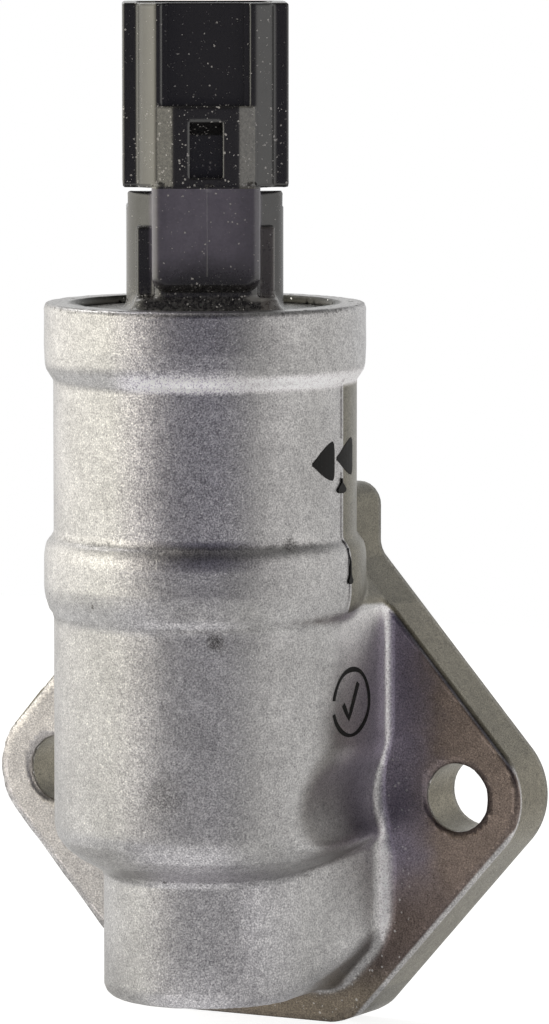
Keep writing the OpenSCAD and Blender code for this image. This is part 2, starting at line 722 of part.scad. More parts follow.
// Upper end plate with the fixed core of the magnet, drilled for the bush and the terminals
module pole_piece() {
    color([0.55, 0.56, 0.58]) on_axis() difference() {
        union() {
            ring(solenoid_r, 0, pole_plate_z, flux_t);
            ring(pole_r, 0, pole_face_z, pole_reach + over / 2);
        }
        ring(bush_r, 0, pole_face_z - over, upper_bush_z + upper_bush_h - pole_face_z + over);
        ring(vent_r, 0, pole_face_z, pole_reach + flux_t + over);
        rotate(turn) for (side = [-1, 1]) translate([side * leg_x, 0, 0])
            ring(leg_hole_r, 0, pole_plate_z - over, flux_t + 2 * over);
    }
}

module upper_bush() {
    color([0.72, 0.58, 0.3]) on_axis() ring(bush_r, bush_bore_r, upper_bush_z, upper_bush_h);
}

module yoke() {
    color([0.5, 0.51, 0.53]) on_axis()
        ring(solenoid_r, solenoid_r - yoke_wall, yoke_z, yoke_h);
}

module bobbin() {
    color([0.85, 0.84, 0.78]) on_axis() {
        ring(winding_in_r, bobbin_bore_r, bobbin_z, bobbin_h);
        ring(bobbin_r, bobbin_bore_r, bobbin_z, bobbin_flange_t);
        ring(bobbin_r, bobbin_bore_r, bobbin_z + bobbin_h - bobbin_flange_t, bobbin_flange_t);
    }
}

module coil_winding() {
    color([0.72, 0.38, 0.2]) on_axis()
        ring(winding_r, winding_in_r, bobbin_z + bobbin_flange_t,
             bobbin_h - 2 * bobbin_flange_t);
}

module flux_plate() {
    color([0.5, 0.51, 0.53]) on_axis()
        ring(solenoid_r, guide_r + loose_gap, flux_z, flux_t);
}

module guide_tube() {
    color([0.78, 0.64, 0.32]) on_axis()
        ring(guide_r, armature_r + slide_gap, flux_z, guide_h);
}

module coil_gasket() {
    color([0.15, 0.15, 0.15]) on_axis()
        ring(solenoid_r, guide_r - guide_wall / 2, gasket_z, gasket_t);
}

module spring_plate() {
    color([0.62, 0.62, 0.63]) on_axis()
        ring(solenoid_r, armature_r + guide_wall, shelf_z, plate_t);
}

module armature() {
    color([0.6, 0.61, 0.63]) on_axis() ring(armature_r, spindle_r, armature_z, armature_h);
}

// Ground rod that runs in both bushes, with a collar for the valve head to bear against
module spindle() {
    color([0.75, 0.75, 0.76]) on_axis() {
        ring(spindle_r, 0, spindle_foot_z, spindle_top_z - spindle_foot_z);
        ring(collar_r, 0, hub_top_z, collar_h);
    }
}

module valve_head() {
    color([0.7, 0.6, 0.38]) on_axis() {
        ring(head_r, spindle_r, head_z, head_t);
        ring(hub_r, spindle_r, hub_low_z, hub_top_z - hub_low_z);
    }
}

module head_facing() {
    color([0.12, 0.12, 0.12]) on_axis() ring(head_r - facing_inset, hub_r, facing_z, facing_t);
}

module head_clip() {
    color([0.55, 0.55, 0.57]) on_axis() ring(hub_r, spindle_r, clip_z, clip_t);
}

module seat_ring() {
    color([0.76, 0.62, 0.34]) on_axis()
        ring(seat_ring_r, seat_bore_r, seat_pocket_z, seat_ring_h);
}

module return_spring() {
    color([0.6, 0.61, 0.62]) on_axis()
        coil_spring(return_r, return_wire_r, return_turns, head_top_z + loose_gap,
                    shelf_z - loose_gap);
}

module balance_spring() {
    color([0.6, 0.61, 0.62]) on_axis()
        coil_spring(balance_r, balance_wire_r, balance_turns, guide_boss_top_z + loose_gap,
                    clip_z - loose_gap);
}

module lower_bush() {
    color([0.72, 0.58, 0.3]) on_axis() ring(bush_r, bush_bore_r, lower_bush_z, lower_bush_h);
}

module port_seal() {
    color([0.1, 0.1, 0.1]) on_axis() upright(axis_to_face - seal_t, axis_to_face) seal_shape(0);
}

housing();
end_cap();
terminal_left();
terminal_right();
cap_o_ring();
wave_washer();
pole_piece();
upper_bush();
yoke();
bobbin();
coil_winding();
flux_plate();
guide_tube();
coil_gasket();
spring_plate();
armature();
spindle();
valve_head();
head_facing();
head_clip();
seat_ring();
return_spring();
balance_spring();
lower_bush();
port_seal();
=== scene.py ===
import math

import bpy
import numpy as np
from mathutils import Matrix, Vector


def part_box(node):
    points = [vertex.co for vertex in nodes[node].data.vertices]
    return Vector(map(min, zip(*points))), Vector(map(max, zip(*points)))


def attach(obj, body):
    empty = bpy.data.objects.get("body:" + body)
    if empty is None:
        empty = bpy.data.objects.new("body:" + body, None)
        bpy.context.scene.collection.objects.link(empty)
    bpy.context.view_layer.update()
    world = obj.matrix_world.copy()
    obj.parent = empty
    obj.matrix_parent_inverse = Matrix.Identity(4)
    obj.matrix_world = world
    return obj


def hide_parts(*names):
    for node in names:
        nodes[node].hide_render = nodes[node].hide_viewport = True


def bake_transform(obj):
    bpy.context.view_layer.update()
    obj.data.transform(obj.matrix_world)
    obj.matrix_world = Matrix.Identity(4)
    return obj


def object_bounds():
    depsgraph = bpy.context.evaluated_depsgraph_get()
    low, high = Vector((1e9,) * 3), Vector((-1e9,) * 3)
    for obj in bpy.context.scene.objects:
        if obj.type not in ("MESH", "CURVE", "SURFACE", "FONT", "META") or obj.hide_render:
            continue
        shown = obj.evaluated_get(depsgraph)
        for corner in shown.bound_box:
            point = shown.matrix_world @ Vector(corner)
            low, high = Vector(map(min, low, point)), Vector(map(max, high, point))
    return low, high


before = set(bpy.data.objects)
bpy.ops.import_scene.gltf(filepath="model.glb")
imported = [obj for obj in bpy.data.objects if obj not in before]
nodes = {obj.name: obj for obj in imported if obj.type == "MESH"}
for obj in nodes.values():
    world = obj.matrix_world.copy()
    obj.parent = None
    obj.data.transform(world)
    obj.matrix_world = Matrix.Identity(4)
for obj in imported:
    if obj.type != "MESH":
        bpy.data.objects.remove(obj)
cad_box = [list(corner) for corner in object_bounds()]
scene = bpy.context.scene
scene.view_settings.view_transform = "Standard"


# ---------------------------------------------------------------- studio
# The valve stands upright on a white table, seen from a little above and from its right. A long
# lens stands about 0.7 m away. The table and the air behind it are pure white to the lens.

camera_data = bpy.data.cameras.new("long_lens")
camera_data.sensor_fit = "VERTICAL"
camera_data.sensor_height = 36.0
camera_data.lens = 237.34
camera_data.clip_end = 20.0
camera = bpy.data.objects.new("long_lens", camera_data)
camera.location = (0.329307, -0.611575, 0.095761)
camera.rotation_euler = Vector((-0.47324, 0.87548, -0.09788)).to_track_quat("-Z", "Y").to_euler()
scene.collection.objects.link(camera)
scene.camera = camera


def wire(tree, node_type, inputs=None, **settings):
    """Adds a node to a tree, sets its properties and its inputs, and returns it."""
    node = tree.nodes.new(node_type)
    for name, value in settings.items():
        setattr(node, name, value)
    for key, value in (inputs or {}).items():
        if isinstance(value, bpy.types.NodeSocket):
            tree.links.new(value, node.inputs[key])
        else:
            node.inputs[key].default_value = value
    return node


def maths(tree, operation, *values):
    """Result of one Math node, whose values are numbers or sockets."""
    return wire(tree, "ShaderNodeMath", dict(enumerate(values)), operation=operation).outputs[0]


def product(tree, *factors):
    """Product of two or more numbers or sockets."""
    result = factors[0]
    for factor in factors[1:]:
        result = maths(tree, "MULTIPLY", result, factor)
    return result


def parts(tree, vector):
    """The three coordinates of a vector."""
    return wire(tree, "ShaderNodeSeparateXYZ", {0: vector}).outputs


def share_round(tree, x, y):
    """Way round the horizon: 0 and 1 behind the valve, 0.25 left, 0.5 in front, 0.75 right."""
    turn = maths(tree, "ARCTAN2", x, product(tree, y, -1.0))
    return maths(tree, "MULTIPLY_ADD", turn, 0.5 / math.pi, 0.5)


def ramp(tree, value, stops):
    """Colour of a ramp at a value. Each stop is a position and a colour, or a grey level."""
    node = wire(tree, "ShaderNodeValToRGB", {"Fac": value})
    while len(node.color_ramp.elements) < len(stops):
        node.color_ramp.elements.new(0.5)
    for element, (position, colour) in zip(node.color_ramp.elements, stops):
        element.position = position
        grey = (colour,) * 3 if isinstance(colour, (int, float)) else colour
        element.color = (*grey, 1.0)
    return node.outputs["Color"]


world = bpy.data.worlds.new("studio_walls")
scene.world = world
world.use_nodes = True
tree = world.node_tree
tree.nodes.clear()
wx, wy, wz = parts(tree, wire(tree, "ShaderNodeTexCoord").outputs["Generated"])
walls = ramp(tree, share_round(tree, wx, wy), [
    (0.00, (0.85, 0.85, 0.85)), (0.13, (0.85, 0.85, 0.84)), (0.19, (1.45, 1.41, 1.33)),
    (0.385, (2.0, 1.94, 1.72)), (0.425, (1.38, 1.31, 1.12)), (0.475, (0.26, 0.25, 0.24)),
    (0.525, (0.094, 0.092, 0.120)), (0.66, (0.104, 0.101, 0.124)), (0.715, (0.78, 0.76, 0.75)),
    (0.79, (0.88, 0.87, 0.85)), (0.84, (0.76, 0.75, 0.73)), (1.00, (0.85, 0.85, 0.85))])
height = ramp(tree, maths(tree, "MULTIPLY_ADD", wz, 0.5, 0.5),
              [(0.0, 0.3), (0.36, 0.8), (0.48, 1.0), (0.66, 1.0), (0.80, 0.3), (1.0, 0.25)])
mixed = wire(tree, "ShaderNodeMix", {"Factor": 1.0, 6: walls, 7: height},
             data_type="RGBA", blend_type="MULTIPLY")
light_path = wire(tree, "ShaderNodeLightPath")
seen = wire(tree, "ShaderNodeMix",
            {"Factor": light_path.outputs["Is Camera Ray"], 6: mixed.outputs[2],
             7: (1.0, 1.0, 1.0, 1.0)}, data_type="RGBA")
background = wire(tree, "ShaderNodeBackground", {"Color": seen.outputs[2], "Strength": 1.0})
output = wire(tree, "ShaderNodeOutputWorld")
tree.links.new(background.outputs[0], output.inputs[0])

light = bpy.data.lights.new("top_soft_box", "AREA")
light.shape = "SQUARE"
light.size = 0.35
light.energy = 1.2
light.color = (1.0, 0.99, 0.97)
soft_box = bpy.data.objects.new("top_soft_box", light)
soft_box.location = (-0.55, 0.10, 0.65)
aim = Vector((0.0, -0.017, 0.02)) - soft_box.location
soft_box.rotation_euler = aim.to_track_quat("-Z", "Y").to_euler()
scene.collection.objects.link(soft_box)

table_data = bpy.data.meshes.new("table")
table_z = cad_box[0][2] - 0.0002
half = 0.32
table_data.from_pydata([(-half, -half, table_z), (half, -half, table_z), (half, half, table_z),
                        (-half, half, table_z)], [], [(0, 1, 2, 3)])
table = bpy.data.objects.new("table", table_data)
scene.collection.objects.link(table)
table_paint = bpy.data.materials.new("table_white")
table_paint.use_nodes = True
tree = table_paint.node_tree
tree.nodes.clear()
light_path = wire(tree, "ShaderNodeLightPath")
lit = wire(tree, "ShaderNodeBsdfDiffuse", {"Color": (0.62, 0.62, 0.62, 1.0)})
spot = wire(tree, "ShaderNodeVectorMath", {0: wire(tree, "ShaderNodeTexCoord").outputs["Object"],
                                           1: (0.0, 0.0171, 0.0)}).outputs[0]
away = wire(tree, "ShaderNodeVectorMath", {0: spot}, operation="LENGTH").outputs["Value"]
# Mirrored in the casting, the table glows: a painted glow, bright towards the lit walls and dark in
# front. Close to the foot it is the other way round.
sx, sy, _ = parts(tree, spot)
round_share = share_round(tree, sx, sy)
close = ramp(tree, round_share, [(0.0, 0.4), (0.28, 0.24), (0.40, 0.30), (0.47, 0.58),
                                 (0.60, 0.58), (0.70, 0.34), (1.0, 0.4)])
far_glow = ramp(tree, round_share, [(0.0, 0.45), (0.17, 0.5), (0.21, 0.60), (0.40, 0.60), (0.45, 0.20),
                                (0.67, 0.20), (0.72, 0.50), (0.84, 0.50), (1.0, 0.45)])
out = product(tree, away, 5.0)
shine = wire(tree, "ShaderNodeMix", {"Factor": ramp(tree, out, [(0.24, 0.0), (0.30, 1.0)]),
                                     2: close, 3: far_glow}).outputs[0]
shine = wire(tree, "ShaderNodeMix", {"Factor": ramp(tree, out, [(0.50, 0.0), (0.75, 1.0)]),
                                     2: shine, 3: 0.38}).outputs[0]
shown = maths(tree, "MULTIPLY_ADD", light_path.outputs["Is Camera Ray"], 0.85,
              product(tree, light_path.outputs["Is Glossy Ray"], shine))
glow = wire(tree, "ShaderNodeEmission", {"Color": (1.0, 1.0, 1.0, 1.0), "Strength": shown})
both = wire(tree, "ShaderNodeAddShader", {0: lit.outputs[0], 1: glow.outputs[0]})
output = wire(tree, "ShaderNodeOutputMaterial", {"Surface": both.outputs[0]})
table_data.materials.append(table_paint)


# ---------------------------------------------------------------- housing
# One aluminium die casting: barrel with two bands, foot, block, boss and diamond flange. Its
# bores, seat pocket, mounting face and bolt holes are machined, and the top rim is rolled over
# the end cap. All lengths below are in millimetres, from the barrel's axis and the bolts' line.

MM = 0.001
AXIS_TO_FACE = 17.1
BARREL_R = 15.33
FOOT_R, FOOT_Z = 10.34, -20.4
RIM_Z, CAP_TOP_Z, CAP_SEAT_Z, SHELF_Z = 50.2, 49.5, 46.6, 27.0
BOSS_HALF_W, BOSS_TOP_Z, BLOCK_CORNER_Z = 11.2, 31.1, 19.3
BOLT_X, BOLT_HOLE_R, EAR_R, RELIEF_R = 23.25, 3.5, 7.1, 9.2
EDGE_LEAN = math.radians(41.6)
EDGE_REACH = BOLT_X * math.cos(EDGE_LEAN) + EAR_R
FLANGE_FRONT_Y = 10.5
DRAFT = 0.046  # what the block's outline gains for each millimetre in front of the flange
INLET_Z, INLET_R, OUTLET_Z, OUTLET_R = 17.5, 7.0, -10.5, 6.3


def cut(a, b, radius):
    """Where both shapes are, with the edge between them rounded to a radius."""
    u, v = np.maximum(a + radius, 0), np.maximum(b + radius, 0)
    return np.minimum(-radius, np.maximum(a, b)) + np.hypot(u, v)


def join(a, b, radius):
    """Where either shape is, with a fillet of a radius in the corner between them."""
    return -cut(-a, -b, radius)


def profile(points, soften):
    """Radius at a height, through the given (height, radius) points with softened corners."""
    step = 0.02
    heights = np.arange(-30.0, 90.0, step)
    radii = np.interp(heights, *np.array(points, float).T)
    window = np.hanning(max(3, int(soften / step)))
    pad = len(window) // 2
    padded = np.pad(radii, pad, mode="edge")
    radii = np.convolve(padded, window / window.sum(), mode="same")[pad:pad + len(heights)]
    slope = np.gradient(radii, step)
    return (lambda z: np.interp(z, heights, radii)), (lambda z: np.interp(z, heights, slope))


cone = [(-7.5, 10.45), (-6.8, 11.54), (-6.1, 12.86), (-5.06, 14.18), (-4.0, 14.99),
        (-2.9, 15.29), (-2.2, BARREL_R), (42.2, BARREL_R)]
barrel_radius, barrel_slope = profile(
    [(-30, FOOT_R), (-7.75, FOOT_R), *cone, (42.6, 15.42), (43.1, 15.78), (43.6, 16.06),
     (44.2, 16.18), (46.0, 16.26), (48.4, 16.24), (55.0, 16.20)], 0.5)
block_radius, block_slope = profile([(-30, -24.6), *cone], 0.5)
band_radius, band_slope = profile(
    [(-30, 14.2), (17.2, 14.4), (18.62, 15.30), (18.85, 15.50), (19.11, 15.69), (19.53, 15.90),
     (19.94, 16.03), (20.35, 16.14), (20.76, 16.22), (21.17, 16.27), (21.6, 16.31), (24.6, 16.30),
     (25.3, 16.22), (25.8, 16.10), (26.2, 15.90), (26.5, 15.66), (26.75, 15.38), (27.4, 14.95),
     (30.0, 14.2)], 0.3)


def diamond(x, z):
    """Distance outside the flange's two long edges on each side, with the round ear."""
    across, up = np.abs(x) - BOLT_X, np.abs(z)
    along_edge = up * math.cos(EDGE_LEAN) - across * math.sin(EDGE_LEAN)
    off_edge = across * math.cos(EDGE_LEAN) + up * math.sin(EDGE_LEAN)
    return np.where(along_edge > 0, off_edge, np.hypot(across, up)) - EAR_R


def cast_shape(x, y, z):
    """Distance outside the casting's surface, in mm."""
    side = np.abs(x)
    radius = np.hypot(x, y)
    relief = np.hypot(side - BOLT_X, z) - RELIEF_R
    # outline of the flange and of the boss above the inlet port, which the block follows too
    draft = DRAFT * np.maximum(FLANGE_FRONT_Y - y, 0)
    outline = np.maximum(cut(diamond(x, z) - draft, -24.2 - z, 2.0), z - BOSS_TOP_Z)
    boss = np.maximum(cut(side - BOSS_HALF_W, z - BOSS_TOP_Z, 2.4), -z)
    outline = join(outline, boss, 0.6)
    # block with its straight walls, and the skirt that flares from the foot to the flange
    walls = np.hypot(x, np.minimum(y, 0))
    block = (walls - block_radius(z)) / np.hypot(1, block_slope(z))
    flare = math.radians(20.7)
    on_wall = side * math.sin(flare) + y * math.cos(flare) > 0
    skirt = np.where(on_wall, side * math.cos(flare) - y * math.sin(flare), radius) - FOOT_R
    block = join(block, skirt, 0.5)
    underside = side * math.cos(EDGE_LEAN) - z * math.sin(EDGE_LEAN) - EDGE_REACH + 3.6
    block = cut(cut(block, FOOT_Z - z, 1.5), underside, 0.9)
    block = cut(block, -relief, 0.7)
    fillet = 1.1 + 0.5 * np.clip((3.0 - z) / 5, 0, 1)
    rear = cut(join(block, FLANGE_FRONT_Y - y, fillet), outline, 0.5)
    rear = cut(rear, y - AXIS_TO_FACE, 0.2)
    # barrel, cone and foot
    barrel = (radius - barrel_radius(z)) / np.hypot(1, barrel_slope(z))
    barrel = cut(cut(barrel, FOOT_Z - z, 1.5), z - RIM_Z, 0.55)
    barrel = cut(barrel, -relief, 0.7)
    body = np.where(z < BLOCK_CORNER_Z, np.minimum(barrel, rear),
                    join(barrel, np.maximum(rear, -y), 0.4))
    band = (radius - band_radius(z)) / np.hypot(1, band_slope(z))
    band = np.maximum(band, np.abs(z - 22.2) - 6)
    body = join(body, band, 0.3)
    # machined bores, from the top down
    guide = np.maximum(radius - 4.1, z + 12.4)
    bore = np.maximum(np.maximum(radius - 6.2, np.maximum(-16.0 - z, z - 6)), -guide)
    for bore_r, low, high in ((13.15, CAP_TOP_Z - 0.3, 60), (14.15, CAP_SEAT_Z, CAP_TOP_Z),
                              (13.3, SHELF_Z, 48), (10.5, 7.2, 28), (8.0, 5.0, 8),
                              (2.25, -18.4, -12)):
        bore = np.minimum(bore, np.maximum(radius - bore_r, np.maximum(low - z, z - high)))
    bore = np.minimum(bore, np.maximum(np.hypot(x, z - INLET_Z) - INLET_R, -y))
    bore = np.minimum(bore, np.maximum(np.hypot(x, z - OUTLET_Z) - OUTLET_R, 4.4 - y))
    body = cut(body, -bore, 0.25)
    # groove of the port seal
    inlet_ring = np.abs(np.hypot(x, z - INLET_Z) - INLET_R - 2.45) - 1.0
    outlet_ring = np.abs(np.hypot(x, z - OUTLET_Z) - OUTLET_R - 2.45) - 1.0
    web = np.maximum(side - 1.0, np.abs(z - 3.1) - 5.6)
    groove = np.minimum(np.minimum(inlet_ring, outlet_ring), web)
    body = np.maximum(body, -np.maximum(groove, AXIS_TO_FACE - 1.6 - y))
    bolt_hole = np.hypot(side - BOLT_X, z) - BOLT_HOLE_R
    return cut(body, -bolt_hole, 0.3)


def slope_of(shape, points, reach=0.02):
    """Outward directions of a shape's surface at some points."""
    steps = np.eye(3) * reach
    slopes = np.stack([shape(*(points + s).T) - shape(*(points - s).T) for s in steps], -1)
    return slopes / np.maximum(np.linalg.norm(slopes, axis=-1, keepdims=True), 1e-9)


def sculpt(name, shape, low, high, cell, place):
    """A closed mesh around a shape, with its sharp edges kept, by dual contouring.

    The shape gives a distance in millimetres, below zero inside. Each cell of the grid that its
    surface crosses gets one vertex, where the planes at its crossings meet. The surface's own
    slope gives the normals. place moves points from the shape's own frame to the valve's."""
    limits = np.array([low, high], float)
    low = limits[0] - 1.37 * cell
    counts = np.ceil((limits[1] - low) / cell).astype(int) + 1
    lines = [low[k] + cell * np.arange(counts[k] + 1) for k in range(3)]
    values = np.empty(counts + 1)
    for k, level in enumerate(lines[2]):
        gx, gy = np.meshgrid(lines[0], lines[1], indexing="ij")
        values[:, :, k] = shape(gx, gy, np.full_like(gx, level))
    inside = values < 0
    points, quads = [], []
    for axis in range(3):
        near = [slice(None)] * 3
        far = [slice(None)] * 3
        near[axis], far[axis] = slice(None, -1), slice(1, None)
        crossed = np.argwhere(inside[tuple(near)] != inside[tuple(far)])
        step = np.zeros(3, int)
        step[axis] = 1
        a, b = crossed, crossed + step
        fa, fb = values[tuple(a.T)], values[tuple(b.T)]
        pa, pb = low + cell * a, low + cell * b
        for _ in range(5):
            part = np.clip(fa / (fa - fb), 0.1, 0.9)[:, None]
            middle = pa + (pb - pa) * part
            fm = shape(*middle.T)
            left = (fm < 0) == (fa < 0)
            pa, fa = np.where(left[:, None], middle, pa), np.where(left, fm, fa)
            pb, fb = np.where(left[:, None], pb, middle), np.where(left, fb, fm)
        part = np.clip(fa / np.where(fa == fb, 1, fa - fb), 0, 1)[:, None]
        points.append(pa + (pb - pa) * part)
        u, v = np.zeros(3, int), np.zeros(3, int)
        u[(axis + 1) % 3], v[(axis + 2) % 3] = 1, 1
        around = np.stack([a - u - v, a - v, a, a - u], 1)
        rising = inside[tuple(a.T)]
        around[~rising] = around[~rising][:, ::-1]
        quads.append(np.ravel_multi_index(around.reshape(-1, 3).T, counts).reshape(-1, 4))
    points, quads = np.concatenate(points), np.concatenate(quads)
    slopes = slope_of(shape, points)
    cells, index = np.unique(quads, return_inverse=True)
    quads = index.reshape(-1, 4)
    total = np.bincount(index.ravel(), minlength=len(cells))[:, None]
    owner, point, slope = quads.ravel(), np.repeat(points, 4, 0), np.repeat(slopes, 4, 0)

    def gather(weights):
        return np.stack([np.bincount(owner, w, len(cells)) for w in weights.T], 1)

    centre = gather(point) / total
    offset = np.einsum("ij,ij->i", slope, point - centre[owner])
    pairs = [(0, 0), (0, 1), (0, 2), (1, 1), (1, 2), (2, 2)]
    matrix = gather(np.stack([slope[:, i] * slope[:, j] for i, j in pairs], 1))
    square = np.empty((len(cells), 3, 3))
    for k, (i, j) in enumerate(pairs):
        square[:, i, j] = square[:, j, i] = matrix[:, k]
    right = gather(slope * offset[:, None])
    strength, axes3 = np.linalg.eigh(square)
    keep = strength > 0.08 * strength[:, -1:]
    inverse = np.where(keep, 1 / np.where(keep, strength, 1), 0)
    shift = np.einsum("nij,nj,nkj,nk->ni", axes3, inverse, axes3, right)
    floor = low + cell * np.stack(np.unravel_index(cells, counts), 1)
    vertices = np.clip(np.clip(centre + shift, floor, floor + cell), *limits)
    # normals: smooth where the slopes round a vertex agree, and per corner where they don't
    middle = vertices[quads].mean(1)
    pulled = vertices[quads] + 0.22 * (middle[:, None] - vertices[quads])
    corner_normals = slope_of(shape, pulled.reshape(-1, 3))
    own = slope_of(shape, vertices)
    flat = quads.ravel()
    agree = np.einsum("ij,ij->i", corner_normals, own[flat])
    worst = np.ones(len(vertices))
    np.minimum.at(worst, flat, agree)
    normals = np.where((worst[flat] > 0.9)[:, None], own[flat], corner_normals)
    mesh = bpy.data.meshes.new(name)
    mesh.from_pydata(place(vertices) * MM, [], quads.tolist())
    mesh.shade_smooth()
    turned = place(normals) - place(np.zeros(3))
    mesh.normals_split_custom_set(turned.tolist())
    piece = bpy.data.objects.new(name, mesh)
    scene.collection.objects.link(piece)
    return piece


def from_axis(points):
    """Points about the barrel's axis, moved to in front of the mounting face."""
    return points - np.array([0.0, AXIS_TO_FACE, 0.0])


casting = sculpt("die_casting", cast_shape, (-BOLT_X - EAR_R, -16.295, -24.2),
                 (BOLT_X + EAR_R, AXIS_TO_FACE, RIM_Z), 0.55, from_axis)


def finish(name):
    """A new node material, with its tree and its Principled shader."""
    material = bpy.data.materials.new(name)
    material.use_nodes = True
    tree = material.node_tree
    return material, tree, tree.nodes["Principled BSDF"]


def effect(name, inputs, outputs):
    """An empty shader node group with named inputs and outputs."""
    group = bpy.data.node_groups.new(name, "ShaderNodeTree")
    for label, start in inputs.items():
        socket = group.interface.new_socket(label, in_out="INPUT", socket_type="NodeSocketFloat")
        socket.default_value = start
    for label in outputs:
        group.interface.new_socket(label, in_out="OUTPUT", socket_type="NodeSocketFloat")
    return group, wire(group, "NodeGroupInput"), wire(group, "NodeGroupOutput")


def use(tree, group, **inputs):
    """Places an effect in a material with its own values."""
    node = tree.nodes.new("ShaderNodeGroup")
    node.node_tree = group
    for label, value in inputs.items():
        label = label.replace("_", " ")
        if isinstance(value, bpy.types.NodeSocket):
            tree.links.new(value, node.inputs[label])
        else:
            node.inputs[label].default_value = value
    return node


def grade(tree, value, start, end):
    """Goes smoothly from 0 to 1 as a value goes from start to end, which may be the lower one."""
    node = wire(tree, "ShaderNodeMapRange", {"Value": value, "From Min": start, "From Max": end},
                interpolation_type="SMOOTHSTEP")
    return node.outputs["Result"]


def blend_colour(tree, factor, a, b, kind="MIX"):
    """Mixes two colours, each of which is a socket or three numbers."""
    values = {"Factor": factor}
    for key, colour in ((6, a), (7, b)):
        values[key] = colour if isinstance(colour, bpy.types.NodeSocket) else (*colour, 1.0)
    return wire(tree, "ShaderNodeMix", values, data_type="RGBA", blend_type=kind).outputs[2]


def skin_finish(tree, shader, colour, roughness, height=None, depth=0.0, strength=0.5):
    """Gives a surface its colour and roughness, and relief of a depth in mm."""
    tree.links.new(colour, shader.inputs["Base Color"])
    tree.links.new(roughness, shader.inputs["Roughness"])
    if depth:
        bump = wire(tree, "ShaderNodeBump", {"Height": height, "Distance": depth * MM,
                                             "Strength": strength})
        tree.links.new(bump.outputs[0], shader.inputs["Normal"])


def above(tree, value, limit):
    """1 where a value is above a limit, else 0."""
    return maths(tree, "GREATER_THAN", value, limit)


def below(tree, value, limit):
    """1 where a value is below a limit, else 0."""
    return maths(tree, "LESS_THAN", value, limit)


def noise(tree, vector, scale, detail, roughness=0.5, **seed):
    """Soft random values over a place, about 0.5 in the mean. W picks another set."""
    values = {"Vector": vector, "Scale": scale, "Detail": detail, "Roughness": roughness, **seed}
    return wire(tree, "ShaderNodeTexNoise", values,
                noise_dimensions="4D" if seed else "3D").outputs["Fac"]


def blend_value(tree, factor, a, b):
    """Mixes two values, each of which is a socket or a number."""
    return wire(tree, "ShaderNodeMix", {"Factor": factor, 2: a, 3: b}).outputs[0]


def distance(tree, vector, centre):
    """Distance of a place from a centre."""
    return wire(tree, "ShaderNodeVectorMath", {0: vector, 1: centre},
                operation="DISTANCE").outputs["Value"]


def scaled(tree, vector, scale):
    """A vector with its coordinates scaled one by one."""
    return wire(tree, "ShaderNodeVectorMath", {0: vector, 1: scale},
                operation="MULTIPLY").outputs[0]


def place_on_axis(tree):
    """Object coordinates in millimetres from the barrel's axis and the bolts' line."""
    return wire(tree, "ShaderNodeVectorMath",
                {0: wire(tree, "ShaderNodeTexCoord").outputs["Object"], 1: (1000.0,) * 3,
                 2: (0.0, AXIS_TO_FACE, 0.0)}, operation="MULTIPLY_ADD").outputs[0]


# Grain of a blasted or moulded skin: fine grains over coarser ones, about 0.5 in the mean
grain, given, result = effect("skin_grain", {"Size mm": 0.25, "Coarse Share": 0.3, "Seed": 0.0},
                              ["Value", "Height"])
spots = wire(grain, "ShaderNodeTexCoord").outputs["Object"]
fine_scale = maths(grain, "DIVIDE", 1000.0, given.outputs["Size mm"])
fine = noise(grain, spots, fine_scale, 2.5, 0.62, W=given.outputs["Seed"])
coarse = noise(grain, spots, product(grain, fine_scale, 0.22), 2.0, W=given.outputs["Seed"])
grain.links.new(blend_value(grain, given.outputs["Coarse Share"], fine, coarse),
                result.inputs["Value"])
grain.links.new(fine, result.inputs["Height"])

# Loose specks, such as dust or dirt: a share of the cells of a lattice hold one round speck
specks, given, result = effect("specks", {"Cell mm": 1.0, "Share": 0.3, "Speck Size": 0.25,
                                          "Seed": 0.0}, ["Mask"])
spots = wire(specks, "ShaderNodeTexCoord").outputs["Object"]
warp = wire(specks, "ShaderNodeTexNoise", {"Vector": spots, "Scale": 3000.0, "Detail": 1.0})
warped = wire(specks, "ShaderNodeVectorMath",
              {0: warp.outputs["Color"], 1: (0.00025,) * 3, 2: spots}, operation="MULTIPLY_ADD")
cells = wire(specks, "ShaderNodeTexVoronoi",
             {"Vector": warped.outputs[0], "W": given.outputs["Seed"],
              "Scale": maths(specks, "DIVIDE", 1000.0, given.outputs["Cell mm"])},
             voronoi_dimensions="4D")
dice = wire(specks, "ShaderNodeSeparateColor", {0: cells.outputs["Color"]})
reach = product(specks, dice.outputs[1], given.outputs["Speck Size"])
near = below(specks, cells.outputs["Distance"], reach)
chosen = below(specks, dice.outputs[0], given.outputs["Share"])
specks.links.new(product(specks, near, chosen), result.inputs["Mask"])

aluminium, tree, shader = finish("cast_aluminium")
place = place_on_axis(tree)
px, py, pz = parts(tree, place)
pr = wire(tree, "ShaderNodeVectorMath", {0: scaled(tree, place, (1.0, 1.0, 0.0))},
          operation="LENGTH").outputs["Value"]
out = maths(tree, "ABSOLUTE", px)
skin = use(tree, grain, Size_mm=0.17, Coarse_Share=0.2)
grains = skin.outputs["Value"]
cloud = noise(tree, place, 0.16, 4.0, 0.6)
colour = ramp(tree, grains,
              [(0.30, (0.24, 0.235, 0.24)), (0.50, (0.54, 0.53, 0.53)), (0.70, (0.86, 0.85, 0.83))])
colour = blend_colour(tree, 1.0, colour, ramp(tree, cloud, [(0.3, 0.86), (0.7, 1.1)]), "MULTIPLY")
